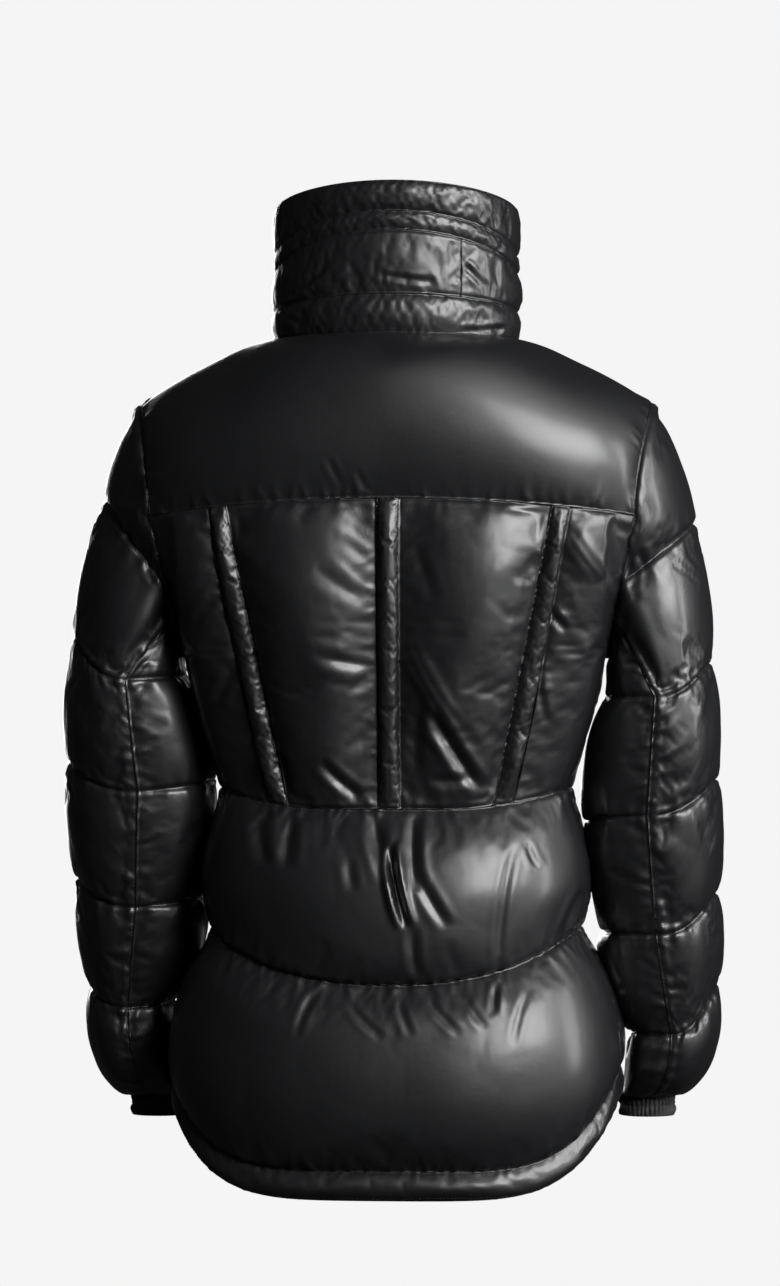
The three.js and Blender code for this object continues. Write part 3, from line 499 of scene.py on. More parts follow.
def addPanel(name, surface, first, last, rowBreaks, look, **style):
    panels.append({"name": name, "surface": surface, "first": first, "last": last,
                   "rowBreaks": rowBreaks, "look": look, **style})


def crossed(crown, acrossRise):
    return lambda t, across, base: crown * rise(t) * acrossRise(across)


# The chest's padding runs flat into the armhole and stays full at the side below the armpit
def besideArm(crown, mirrored=False):
    def padding(t, across, base):
        inward = 1 - across if mirrored else across
        below = sideFullness / crown * smooth(-base[..., 2], -armpitHeight, 306)
        return crown * rise(t) * np.maximum(underArmRise(inward), below)

    return padding


sideFullness = 5.5


def addTorsoPanels():
    sideTo, channelTo, centreTo = (backColumns[name] for name in ("sideTo", "channelTo", "centreTo"))
    middleTo, count = backColumns["middleTo"], backColumns["count"]
    chest, waist = ["yoke", "waist"], ["waist", "lower"]
    lower, hem = ["lower", "hem"], ["hem", "edge"]
    piped = lambda t, across, base: padded["channel"] * np.minimum(1, rise(t) * 1.6) * rise(across)
    gentle = lambda across: rise(across) ** 1.5
    soft = lambda across: rise(across, 0.15)
    full = lambda across: rise(across, 0.36)
    back = [
        ("back_side_left", 0, sideTo, chest, besideArm(padded["backSide"]), "panel"),
        ("back_channel_left", sideTo, channelTo, chest, piped, "channel"),
        ("back_centre_left", channelTo, centreTo, chest, crossed(padded["backCentre"], gentle), "panel"),
        ("back_channel_centre", centreTo, middleTo, chest, piped, "channel"),
        ("back_centre_right", middleTo, count - channelTo, chest, crossed(padded["backCentre"], gentle), "panel"),
        ("back_channel_right", count - channelTo, count - sideTo, chest, piped, "channel"),
        ("back_side_right", count - sideTo, count, chest, besideArm(padded["backSide"], True), "panel"),
        ("back_waist_band", 0, count, waist, crossed(padded["waistBand"], full), "band"),
        ("back_lower_band", 0, count, lower, crossed(padded["lowerBand"], soft), "band"),
        ("back_hem_band", 0, count, hem, crossed(padded["hemBand"], lambda across: rise(across, 0.3)), "hem"),
    ]
    for name, first, last, seams, padding, look in back:
        addPanel(name, torsoSurface(seams, backAngle, padding, first, last), first, last, [0, 1], look)
    for sideName, side in (("left", 1), ("right", -1)):
        angleAt = lambda columns, z, side=side: frontAngle(columns, z, side)
        toZip = lambda floor: lambda across: rise(across, np.where(across < 0.5, floor, 0))
        front = [
            ("chest", chest, besideArm(padded["frontChest"]), "panel"),
            ("waist_band", waist, crossed(padded["frontWaist"], toZip(0.45)), "band"),
            ("lower_band", lower, crossed(padded["frontLower"], toZip(0.15)), "band"),
            ("hem_band", hem, crossed(padded["hemBand"], toZip(0.3)), "hem"),
        ]
        count = frontColumns["count"]
        for piece, seams, padding, look in front:
            surface = torsoSurface(seams, angleAt, padding, 0, count)
            addPanel(f"front_{piece}_{sideName}", surface, 0, count, [0, 1], look)
        addPanel(f"front_yoke_{sideName}", yokeSurface(True, side, padded["frontYoke"]), 0, count, [0, 1], "yoke")
    addPanel("back_yoke", yokeSurface(False, 1, padded["yoke"]), 0, backColumns["count"], [0, 1], "yoke")


def addCollarPanels():
    zipAngle = math.acos(zipSizes["half"] / neck["half"])
    first, last = -zipAngle, math.pi + zipAngle
    backCells = backColumns["count"] - 2 * backColumns["shoulder"]
    upright = math.pi * 9 / backCells
    bands = [
        ("collar_base_band", 0, 1, "collarBase", first, last),
        ("collar_middle_band_left", 1, 2, "collarMiddle", first, upright),
        ("collar_middle_band_right", 1, 2, "collarMiddle", upright, last),
        ("collar_strip", 2, 3, "collarStrip", first, last),
        ("collar_top_band", 3, 4, "collarTop", first, last),
    ]
    for name, lower, upper, crown, start, end in bands:
        surface = collarSurface(lower, upper, padded[crown], start, end)
        addPanel(name, surface, start, end, [0, 1], "collar")


def addSleevePanels():
    for sideName, side in (("left", 1), ("right", -1)):
        lastBack, around = sleeve["lastBack"], 2 * sleeve["lowest"]
        breaks = list(range(len(sleeveRings[sideName]) + 2))
        outer = sleeveSurface(sideName, side, -lastBack, lastBack)
        under = sleeveSurface(sideName, side, lastBack, around - lastBack)
        addPanel(f"sleeve_outer_{sideName}", outer, -lastBack, lastBack, breaks, "sleeve")
        addPanel(f"sleeve_under_{sideName}", under, lastBack, around - lastBack, breaks, "sleeve")


addTorsoPanels()
addCollarPanels()
addSleevePanels()


# Columns and rows spaced evenly along the cloth; a row lies on each seam that crosses the panel
def evenGrid(panel, spacing):
    surface, breaks = panel["surface"], panel["rowBreaks"]

    def spread(values, skin, axis):
        steps = np.linalg.norm(np.diff(skin, axis=axis), axis=-1).mean(1 - axis)
        travel = np.concatenate([[0], np.cumsum(steps)])
        cells = max(2, round(travel[-1] / spacing))
        return np.interp(np.linspace(0, travel[-1], cells + 1), travel, values)

    def skinAt(columns, rows):
        base, outward, lift = surface(columns, rows)
        return base + outward * (lift[..., None] * cloth["startShare"] + cloth["seamLift"])

    probe = np.linspace(panel["first"], panel["last"], 97)
    columns = spread(probe, skinAt(probe, np.linspace(breaks[0], breaks[-1], 9)), 1)
    rows, seams = [], [0]
    for low, high in zip(breaks[:-1], breaks[1:]):
        probe = np.linspace(low, high, 33)
        rows.extend(spread(probe, skinAt(columns, probe), 0)[:-1])
        seams.append(len(rows))
    rows.append(breaks[-1])
    return columns, np.array(rows), seams


def towards(points, others, distance):
    return points + unit(others - points) * distance


# The cloth as it lies before the padding fills it: a skin, the plain inner face, and where each is sewn down
def layOut(panel):
    style = styles[panel["look"]]
    columns, rows, seams = evenGrid(panel, style["spacing"])
    base, outward, lift = panel["surface"](columns, rows)
    for edge, near in ((0, 1), (-1, -2)):
        base[edge] = towards(base[edge], base[near], cloth["edgeGap"])
        base[:, edge] = towards(base[:, edge], base[:, near], cloth["edgeGap"])
    panel["inner"] = base
    panel["skin"] = base + outward * (lift[..., None] * cloth["startShare"] + cloth["seamLift"])
    panel["outward"] = outward
    height, width = len(rows), len(columns)
    rowAway = np.min([np.abs(np.arange(height) - seam) for seam in seams], axis=0)
    columnAway = np.minimum(np.arange(width), width - 1 - np.arange(width))
    panel["away"] = np.minimum(rowAway[:, None], columnAway[None, :]) * style["spacing"]
    panel["seamRows"] = seams


styles = {
    "yoke": {"spacing": 4.0, "pressure": 1.5, "growth": 0.04, "middle": 0.01, "reach": 12, "evened": 24},
    "panel": {"spacing": 4.0, "pressure": 1.5, "growth": 0.07, "middle": 0.01, "reach": 14, "evened": 1},
    "band": {"spacing": 4.0, "pressure": 1.5, "growth": 0.06, "middle": 0.01, "reach": 16, "evened": 1},
    "hem": {"spacing": 3.0, "pressure": 1.5, "growth": 0.07, "middle": 0.01, "reach": 8, "evened": 2},
    "channel": {"spacing": 2.6, "pressure": 1.0, "growth": 0.02, "middle": 0.01, "reach": 6, "evened": 0},
    "collar": {"spacing": 3.4, "pressure": 1.2, "growth": 0.05, "middle": 0.01, "reach": 10, "evened": 0},
    "sleeve": {"spacing": 4.0, "pressure": 1.5, "growth": 0.09, "middle": 0.01, "reach": 14, "evened": 0},
}
settling = {"frames": 20, "quality": 5, "mass": 0.1, "tension": 15, "bending": 0.05, "cap": 9}

for panel in panels:
    layOut(panel)
print("stage: panels laid out,", sum(panel["skin"].shape[0] * panel["skin"].shape[1] for panel in panels), "points")


def gridFaces(height, width):
    first = (np.arange(height - 1)[:, None] * width + np.arange(width - 1)[None, :]).ravel()
    return np.stack([first, first + 1, first + width + 1, first + width], -1)


def facesOutward(panel):
    skin = panel["skin"]
    middle = (skin.shape[0] // 2, skin.shape[1] // 2)
    across = skin[middle[0], middle[1] + 1] - skin[middle]
    down = skin[middle[0] + 1, middle[1]] - skin[middle]
    return np.dot(np.cross(across, down), panel["outward"][middle]) > 0


def clothObject(panel):
    style = styles[panel["look"]]
    height, width, _ = panel["skin"].shape
    faces = gridFaces(height, width)
    if not facesOutward(panel):
        faces = faces[:, ::-1]
    mesh = bpy.data.meshes.new(panel["name"] + "_cloth")
    mesh.from_pydata((panel["skin"].reshape(-1, 3) * mm).tolist(), [], faces.tolist())
    item = bpy.data.objects.new(panel["name"] + "_cloth", mesh)
    bpy.context.collection.objects.link(item)
    away = panel["away"].ravel()
    pin = item.vertex_groups.new(name="pin")
    pin.add(np.flatnonzero(away == 0).tolist(), 1.0, "REPLACE")
    grow = item.vertex_groups.new(name="growth")
    near = np.exp(-(away / style["reach"]) ** 2)
    for level in range(11):
        chosen = np.flatnonzero(np.round(near * 10) == level)
        grow.add(chosen.tolist(), level / 10, "REPLACE")
    modifier = item.modifiers.new("cloth", "CLOTH")
    settings = modifier.settings
    settings.quality = settling["quality"]
    settings.mass = settling["mass"]
    settings.tension_stiffness = settings.compression_stiffness = settling["tension"]
    settings.shear_stiffness = settling["tension"] / 3
    settings.bending_stiffness = settling["bending"]
    settings.vertex_group_mass = "pin"
    settings.vertex_group_shrink = "growth"
    settings.shrink_min = -style["middle"]
    settings.shrink_max = -style["growth"]
    settings.use_pressure = True
    settings.uniform_pressure_force = style["pressure"]
    settings.effector_weights.gravity = 0
    modifier.collision_settings.use_collision = False
    modifier.point_cache.frame_start = 1
    modifier.point_cache.frame_end = settling["frames"]
    return item


# Pulls the inner points of a grid towards the mean of their neighbours
def evened(grid, passes):
    for _ in range(passes):
        mean = (grid[:-2, 1:-1] + grid[2:, 1:-1] + grid[1:-1, :-2] + grid[1:-1, 2:]) / 4
        grid = grid.copy()
        grid[1:-1, 1:-1] = lerp(grid[1:-1, 1:-1], mean, 0.5)
    return grid


# Fills the padding: the cloth is a little too long for its seams, so it puckers beside them
def settle():
    items = [clothObject(panel) for panel in panels]
    scene = bpy.context.scene
    for step in range(1, settling["frames"] + 1):
        scene.frame_set(step)
    depsgraph = bpy.context.evaluated_depsgraph_get()
    for panel, item in zip(panels, items):
        mesh = item.evaluated_get(depsgraph).to_mesh()
        points = np.empty(len(mesh.vertices) * 3)
        mesh.vertices.foreach_get("co", points)
        moved = points.reshape(panel["skin"].shape) / mm - panel["skin"]
        distance = np.linalg.norm(moved, axis=-1, keepdims=True)
        cap = np.minimum(settling["cap"], 1 + 0.7 * panel["away"][..., None])
        panel["skin"] = panel["skin"] + moved * np.minimum(1, cap / np.maximum(distance, 1e-6))
        panel["skin"] = evened(panel["skin"], styles[panel["look"]]["evened"])
        panel["moved"] = float(distance.max())
        bpy.data.objects.remove(item)
    scene.frame_set(1)


# Twice as many points each way, on smooth curves through the grid's own
def refined(grid):
    for axis in (0, 1):
        moved = np.moveaxis(grid, axis, 0)
        before = np.concatenate([2 * moved[:1] - moved[1:2], moved[:-1]])[:-1]
        after = np.concatenate([moved[1:], 2 * moved[-1:] - moved[-2:-1]])[1:]
        between = (9 * (moved[:-1] + moved[1:]) - before - after) / 16
        fine = np.empty((2 * len(moved) - 1,) + moved.shape[1:])
        fine[::2] = moved
        fine[1::2] = between
        grid = np.moveaxis(fine, 0, axis)
    return grid


def gridNormals(grid):
    return unit(np.cross(np.gradient(grid, axis=1), np.gradient(grid, axis=0)))


# Small puckers beside a seam: ridges that start at it and fade into the cloth, at uneven distances
puckers = {
    "yoke": {"height": 1.5, "every": 10, "reach": 9, "width": 2.0},
    "panel": {"height": 0.9, "every": 15, "reach": 10, "width": 2.5},
    "band": {"height": 1.6, "every": 10, "reach": 11, "width": 2.3},
    "hem": {"height": 0.8, "every": 11, "reach": 5, "width": 1.9},
    "channel": {"height": 0.55, "every": 4.2, "reach": 6, "width": 1.3},
    "collar": {"height": 0.7, "every": 11, "reach": 8, "width": 2.0},
    "sleeve": {"height": 1.8, "every": 10, "reach": 12, "width": 2.7},
}
puckerSeed = 11


# Adds ridges along one seam of a grid whose rows run along that seam
def puckerRows(points, row, style, random):
    along = np.concatenate([[0], np.cumsum(np.linalg.norm(np.diff(points[row], axis=0), axis=1))])
    steps = np.linalg.norm(np.diff(points, axis=0), axis=2)
    travel = np.concatenate([np.zeros((1, points.shape[1])), np.cumsum(steps, axis=0)])
    away = np.abs(travel - travel[row])
    height = np.zeros(points.shape[:2])
    place = random.uniform(0, style["every"])
    while place < along[-1]:
        reach = style["reach"] * random.uniform(0.4, 1.5)
        slant = random.uniform(-0.45, 0.45)
        size = style["height"] * random.uniform(0.1, 1.0)
        width = style["width"] * random.uniform(0.8, 1.3) * (1 + 0.5 * away / style["reach"])
        profile = away / reach * 2.5 * np.exp(1 - away / reach * 2.5)
        height += size * profile * np.exp(-((along[None, :] - place - slant * away) / width) ** 2)
        place += style["every"] * random.uniform(0.5, 1.6)
    return height


def puckered(panel, points):
    style = puckers[panel["look"]]
    random = np.random.default_rng(puckerSeed + panels.index(panel))
    turned = points.transpose(1, 0, 2)
    seams = panel["seamRows"][1:] if panel["look"] == "yoke" else panel["seamRows"]
    lengthwise = sum(puckerRows(points, 2 * row, style, random) for row in seams)
    upright = sum(puckerRows(turned, row, style, random).T for row in (0, turned.shape[0] - 1))
    return lengthwise + upright


# Soft domes between sharp valleys, as filled cloth crumples: how far apart and how high
facets = {
    "yoke": {"cell": 62, "height": 0.2},
    "panel": {"cell": 36, "height": 0.9},
    "band": {"cell": 46, "height": 0.8},
    "hem": {"cell": 15, "height": 0.2},
    "channel": {"cell": 14, "height": 0.1},
    "collar": {"cell": 19, "height": 0.8},
    "sleeve": {"cell": 34, "height": 1.3},
}


def faceted(panel, away):
    style = facets[panel["look"]]
    random = np.random.default_rng(puckerSeed + 100 + panels.index(panel))
    step = styles[panel["look"]]["spacing"] / 2
    down, across = np.mgrid[0:away.shape[0], 0:away.shape[1]] * step
    size = np.array([away.shape[0] * step, away.shape[1] * step])
    count = int(size[0] * size[1] / style["cell"] ** 2) + 6
    nearest = np.full(away.shape, 9.0)
    for place in random.uniform(-0.1, 1.1, (count, 2)) * size:
        bow = random.uniform(0.6, 1.6)
        reach = ((down - place[0]) ** 2 + bow * (across - place[1]) ** 2) / style["cell"] ** 2
        nearest = np.minimum(nearest, 2.2 * reach + random.uniform(0, 0.12))
    return style["height"] * (0.5 - nearest / (1 + 0.5 * nearest)) * (1 - np.exp(-(away / 7) ** 2))


# Main creases, from one place to another: troughs with a ridge on each side
creases = [
    {"on": "back_waist_band", "from": (-2, -430), "to": (-17, -500), "width": 4, "depth": 8.5, "ridge": 0.8},
    {"on": "back_waist_band", "from": (13, -406), "to": (-3, -462), "width": 7, "depth": 5, "ridge": 0.3},
    {"on": "back_waist_band", "from": (-21, -406), "to": (-25, -470), "width": 6, "depth": 5, "ridge": 0.3},
    {"on": "back_waist_band", "from": (-106, -432), "to": (-93, -545), "width": 4, "depth": 2, "ridge": 0.4},
    {"on": "back_waist_band", "from": (-116, -430), "to": (-126, -452), "width": 3, "depth": 1.8, "ridge": 0.5},
    {"on": "back_waist_band", "from": (-26, -455), "to": (-52, -500), "width": 5, "depth": 2.5, "ridge": 0.4},
    {"on": "back_waist_band", "from": (32, -440), "to": (28, -470), "width": 5, "depth": 1.5, "ridge": 0.4},
    {"on": "back_waist_band", "from": (112, -410), "to": (104, -450), "width": 7, "depth": 3, "ridge": 0.3},
    {"on": "back_waist_band", "from": (82, -408), "to": (86, -452), "width": 7, "depth": 3.5, "ridge": 0.3},
    {"on": "back_waist_band", "from": (-165, -470), "to": (-146, -512), "width": 4, "depth": 2.5, "ridge": 0.5},
    {"on": "back_waist_band", "from": (-22, -500), "to": (-26, -545), "width": 5, "depth": 2.5, "ridge": 0.3},
    {"on": "back_lower_band", "from": (-92, -545), "to": (-90, -572), "width": 3.5, "depth": 1.9, "ridge": 0.5},
    {"on": "back_lower_band", "from": (35, -560), "to": (2, -592), "width": 3.5, "depth": 1.4, "ridge": 0.5},
    {"on": "back_lower_band", "from": (-10, -562), "to": (-22, -590), "width": 3.5, "depth": 1.1, "ridge": 0.5},
    {"on": "back_lower_band", "from": (-36, -562), "to": (-62, -588), "width": 3.5, "depth": 1.4, "ridge": 0.5},
    {"on": "back_lower_band", "from": (-66, -560), "to": (-84, -584), "width": 3.5, "depth": 1.1, "ridge": 0.5},
    {"on": "back_lower_band", "from": (-118, -552), "to": (-106, -598), "width": 3.5, "depth": 0.99, "ridge": 0.5},
    {"on": "back_lower_band", "from": (62, -556), "to": (76, -592), "width": 3.5, "depth": 0.99, "ridge": 0.5},
    {"on": "back_centre_right", "from": (-15, -258), "to": (-60, -336), "width": 5, "depth": -3, "ridge": -0.5},
    {"on": "back_centre_right", "from": (-36, -318), "to": (-80, -388), "width": 6, "depth": 5.5, "ridge": 0.4},
    {"on": "back_centre_right", "from": (-30, -300), "to": (-22, -372), "width": 6, "depth": 2, "ridge": 0.4},
    {"on": "back_centre_right", "from": (-34, -378), "to": (-72, -376), "width": 5, "depth": 2.5, "ridge": 0.4},
    {"on": "back_centre_right", "from": (-24, -178), "to": (-40, -226), "width": 6, "depth": 1.5, "ridge": 0.3},
    {"on": "back_centre_left", "from": (60, -198), "to": (18, -226), "width": 8, "depth": 1.6, "ridge": 0.3},
    {"on": "back_centre_left", "from": (62, -272), "to": (12, -280), "width": 6, "depth": 2.0, "ridge": 0.4},
    {"on": "back_centre_left", "from": (34, -304), "to": (12, -284), "width": 5, "depth": 1.4, "ridge": 0.4},
    {"on": "back_centre_left", "from": (58, -362), "to": (24, -392), "width": 5, "depth": 3.5, "ridge": 0.4},
    {"on": "back_centre_left", "from": (92, -352), "to": (86, -392), "width": 5, "depth": 2.5, "ridge": 0.4},
    {"on": "back_side_right", "from": (-150, -165), "to": (-180, -208), "width": 5, "depth": -2.4, "ridge": -0.5},
    {"on": "back_side_right", "from": (-133, -232), "to": (-150, -252), "width": 4, "depth": 2.2, "ridge": 0.6},
    {"on": "back_side_right", "from": (-124, -276), "to": (-132, -330), "width": 4, "depth": 2, "ridge": 0.5},
    {"on": "back_side_left", "from": (148, -226), "to": (168, -246), "width": 5, "depth": 2, "ridge": 0.5},
    {"on": "back_side_left", "from": (132, -288), "to": (150, -312), "width": 5, "depth": 2, "ridge": 0.5},
    {"on": "back_yoke", "from": (50, -106), "to": (38, -130), "width": 3, "depth": 0.8, "ridge": 0.5},
    {"on": "back_yoke", "from": (26, -116), "to": (16, -136), "width": 3, "depth": 0.7, "ridge": 0.5},
    {"on": "collar_base_band", "from": (78, 8), "to": (98, 20), "width": 3, "depth": 1.6, "ridge": 0.5},
    {"on": "collar_base_band", "from": (-52, 2), "to": (-98, 7), "width": 3, "depth": 2.2, "ridge": 0.5},
    {"on": "collar_middle_band_left", "from": (92, 32), "to": (52, 60), "width": 3, "depth": 1.8, "ridge": 0.6},
    {"on": "collar_middle_band_left", "from": (70, 30), "to": (30, 52), "width": 3, "depth": 1.5, "ridge": 0.6},
    {"on": "collar_middle_band_left", "from": (10, 50), "to": (-40, 44), "width": 3, "depth": 1.4, "ridge": 0.6},
    {"on": "collar_middle_band_right", "from": (-58, 64), "to": (-80, 40), "width": 3, "depth": 1.6, "ridge": 0.6},
    {"on": "collar_top_band", "from": (60, 112), "to": (88, 96), "width": 3, "depth": 1.5, "ridge": 0.6},
    {"on": "front_waist_band_left", "from": (60, -408), "to": (66, -474), "width": 6, "depth": 4, "ridge": 0.4},
    {"on": "front_waist_band_left", "from": (104, -404), "to": (94, -450), "width": 6, "depth": 3, "ridge": 0.4},
    {"on": "front_waist_band_left", "from": (28, -412), "to": (34, -446), "width": 5, "depth": 2.5, "ridge": 0.4},
    {"on": "front_waist_band_right", "from": (-50, -410), "to": (-44, -468), "width": 6, "depth": 4, "ridge": 0.4},
    {"on": "front_waist_band_right", "from": (-92, -404), "to": (-100, -458), "width": 6, "depth": 3.5, "ridge": 0.4},
    {"on": "front_lower_band_left", "from": (48, -548), "to": (60, -590), "width": 6, "depth": 2.5, "ridge": 0.4},
    {"on": "front_lower_band_right", "from": (-70, -540), "to": (-58, -588), "width": 6, "depth": 2.5, "ridge": 0.4},
    {"on": "front_chest_left", "from": (30, -250), "to": (78, -330), "width": 6, "depth": 2.5, "ridge": 0.4},
    {"on": "front_chest_left", "from": (120, -362), "to": (96, -396), "width": 5, "depth": 3, "ridge": 0.4},
    {"on": "front_chest_right", "from": (-36, -300), "to": (-82, -384), "width": 6, "depth": 3, "ridge": 0.4},
    {"on": "front_chest_right", "from": (-150, -240), "to": (-112, -290), "width": 5, "depth": 2.5, "ridge": 0.4},
]


def creased(panel, points):
    height = np.zeros(points.shape[:2])
    for crease in creases:
        if crease["on"] != panel["name"]:
            continue
        start, end = np.array(crease["from"], float), np.array(crease["to"], float)
        span = end - start
        place = points[..., [0, 2]] - start
        share = (place @ span) / (span @ span)
        side = (place[..., 0] * span[1] - place[..., 1] * span[0]) / np.linalg.norm(span)
        bend = side + 0.12 * np.linalg.norm(span) * (share - share**2)
        taper = np.clip(4 * share * (1 - share), 0, 1) ** 0.7
        trough = np.exp(-np.abs(bend / crease["width"]) ** 1.2)
        ridges = sum(np.exp(-((bend - at * 1.5 * crease["width"]) / (0.8 * crease["width"])) ** 2) for at in (-1, 1))
        height += crease["depth"] * taper * (crease["ridge"] * ridges - trough)
    return height


def borderFaces(fineBorder, coarseBorder, coarseSteps):
    faces = []
    for k in range(len(coarseSteps) - 1):
        fine = fineBorder[2 * coarseSteps[k]:2 * coarseSteps[k + 1] + 1]
        faces.append([coarseBorder[k], *fine, coarseBorder[k + 1]])
    return faces


# One closed body: the puffed skin, the plain inner face, and the turned edge between them
def quiltedMesh(panel, innerCell=3):
    skin = refined(panel["skin"])
    normals = gridNormals(skin) * (1 if facesOutward(panel) else -1)
    away = refined(panel["away"][..., None])[..., 0]
    skin = skin + normals * (puckered(panel, skin) + creased(panel, skin) + faceted(panel, away))[..., None]
    panel["fine"], panel["normals"] = skin, normals
    height, width, _ = skin.shape
    coarseHeight, coarseWidth, _ = panel["inner"].shape
    steps = [np.unique(np.linspace(0, size - 1, max(2, size // innerCell + 1)).round().astype(int))
             for size in (coarseHeight, coarseWidth)]
    inner = panel["inner"][np.ix_(steps[0], steps[1])]
    points = np.concatenate([skin.reshape(-1, 3), inner.reshape(-1, 3)])
    fineIndex = np.arange(height * width).reshape(height, width)
    innerIndex = height * width + np.arange(inner.shape[0] * inner.shape[1]).reshape(inner.shape[:2])
    skinFaces = gridFaces(height, width).tolist()
    innerFaces = (height * width + gridFaces(*inner.shape[:2]))[:, ::-1].tolist()
    edges = borderFaces(fineIndex[0], innerIndex[0], steps[1])
    edges += [face[::-1] for face in borderFaces(fineIndex[-1], innerIndex[-1], steps[1])]
    edges += [face[::-1] for face in borderFaces(fineIndex[:, 0], innerIndex[:, 0], steps[0])]
    edges += borderFaces(fineIndex[:, -1], innerIndex[:, -1], steps[0])
    faces = skinFaces + edges + innerFaces
    if not facesOutward(panel):
        faces = [face[::-1] for face in faces]
    mesh = bpy.data.meshes.new(panel["name"])
    mesh.from_pydata((points * mm).tolist(), [], faces)
    mesh.polygons.foreach_set("use_smooth", [True] * len(faces))
    lining = np.zeros(len(faces), int)
    lining[len(skinFaces) + len(edges):] = 1
    mesh.polygons.foreach_set("material_index", lining)
    spacing = styles[panel["look"]]["spacing"] * mm
    rows, columns = np.mgrid[0:height, 0:width] * spacing / 2
    innerRows, innerColumns = np.meshgrid(steps[0] * spacing, steps[1] * spacing, indexing="ij")
    u = np.concatenate([columns.ravel(), innerColumns.ravel()])
    v = np.concatenate([rows.ravel(), innerRows.ravel()])
    corners = np.empty(len(mesh.loops), int)
    mesh.loops.foreach_get("vertex_index", corners)
    uvMap = mesh.uv_layers.new(name="cloth")
    uvMap.data.foreach_set("uv", np.stack([u[corners], v[corners]], -1).ravel())
    values = np.concatenate([np.maximum(away.ravel(), 0), np.zeros(inner.shape[0] * inner.shape[1])])
    mesh.attributes.new("seamDistance", "FLOAT", "POINT").data.foreach_set("value", values * mm)
    mesh.validate()
    return mesh


def addPiece(name, mesh, materials):
    piece = bpy.data.objects.new(name, mesh)
    bpy.context.collection.objects.link(piece)
    for material in materials:
        mesh.materials.append(material)
    return piece


print("stage: materials")


class NodeBoard:
    # a short way to add and join shader nodes
    def __init__(self, name):
        self.material = bpy.data.materials.new(name)
        self.material.use_nodes = True
        self.nodes = self.material.node_tree.nodes
        self.links = self.material.node_tree.links
        self.shader = self.nodes["Principled BSDF"]

    def add(self, kind, inputs=None, **settings):
        node = self.nodes.new("ShaderNode" + kind)
        for name, value in settings.items():
            setattr(node, name, value)
        for name, value in (inputs or {}).items():
            if isinstance(value, bpy.types.NodeSocket):
                self.links.new(value, node.inputs[name])
            else:
                node.inputs[name].default_value = value
        return node

    def set(self, **values):
        for name, value in values.items():
            socket = self.shader.inputs[name.replace("_", " ")]
            if isinstance(value, bpy.types.NodeSocket):
                self.links.new(value, socket)
            else:
                socket.default_value = value

    def scaled(self, low, high, value):
        return self.add("MapRange", {"Value": value, "To Min": low, "To Max": high}).outputs["Result"]

    def noise(self, size, detail=3, rough=0.5, distortion=0.0, vector=None):
        inputs = {"Scale": 1 / size, "Detail": detail, "Roughness": rough, "Distortion": distortion}
        inputs["Vector"] = vector or self.coordinates
        return self.add("TexNoise", inputs).outputs["Fac"]

    @property
    def coordinates(self):
        if "objectPlace" not in self.nodes:
            node = self.add("TexCoord")
            node.name = "objectPlace"
        return self.nodes["objectPlace"].outputs["Object"]

    def bump(self, height, distance, strength=1.0, normal=None):
        inputs = {"Height": height, "Distance": distance, "Strength": strength}
        if normal:
            inputs["Normal"] = normal
        return self.add("Bump", inputs).outputs["Normal"]


nylon = {"colour": (0.0045, 0.0047, 0.0056), "colourWorn": (0.0065, 0.0067, 0.0078), "smooth": 0.40, "rough": 0.50,
         "threads": 0.00042, "crease": 0.019, "crinkle": 0.010, "fine": 0.0032, "nearSeam": 0.022}


def weaveHeight(board, threads):
    uv = board.add("UVMap", uv_map="cloth").outputs["UV"]
    waves = []
    for direction in ("X", "Y"):
        wave = board.add("TexWave", {"Vector": uv, "Scale": math.pi / 10 / threads}, bands_direction=direction)
        waves.append(wave.outputs["Fac"])
    return board.add("Math", {0: waves[0], 1: waves[1]}, operation="MULTIPLY").outputs[0]


def nylonMaterial(name, deeper=1.0):
    board = NodeBoard(name)
    broad = board.noise(0.09, 4, 0.55)
    crinkle = board.noise(nylon["crinkle"], 4, 0.6, 0.8)
    fine = board.noise(nylon["fine"], 3, 0.6, 0.5)
    ridged = board.add("TexVoronoi", {"Vector": board.coordinates, "Scale": 1 / nylon["crease"]},
                       feature="SMOOTH_F1").outputs["Distance"]
    away = board.add("Attribute", attribute_name="seamDistance").outputs["Fac"]
    loose = board.add("MapRange", {"Value": away, "From Max": nylon["nearSeam"], "To Min": 1.0, "To Max": 0.3},
                      interpolation_type="SMOOTHSTEP").outputs["Result"]
    crinkle = board.add("Math", {0: crinkle, 1: loose}, operation="MULTIPLY").outputs[0]
    tone = board.scaled(0, 1, board.noise(0.05, 5, 0.6))
    colour = board.add("Mix", {"Factor": tone, "A": (*[c * deeper for c in nylon["colour"]], 1),
                               "B": (*[c * deeper for c in nylon["colourWorn"]], 1)}, data_type="RGBA")
    normal = board.bump(ridged, 0.0006, 0.22)
    normal = board.bump(crinkle, 0.0011, 0.3, normal)
    normal = board.bump(fine, 0.0003, 0.22, normal)
    normal = board.bump(weaveHeight(board, nylon["threads"]), 0.00004, 0.5, normal)
    board.set(Base_Color=colour.outputs["Result"], Roughness=board.scaled(nylon["smooth"], nylon["rough"], broad),
              Normal=normal, Coat_Weight=0.35, Coat_Roughness=0.22)
    return board.material


def liningMaterial():
    board = NodeBoard("lining")
    speck = board.noise(0.004, 3)
    normal = board.bump(weaveHeight(board, 0.0006), 0.00006, 0.6)
    board.set(Roughness=board.scaled(0.5, 0.7, speck), Normal=normal,
              Base_Color=board.add("Mix", {"Factor": speck, "A": (0.008, 0.008, 0.009, 1),
                                           "B": (0.014, 0.014, 0.016, 1)}, data_type="RGBA").outputs["Result"])
    return board.material


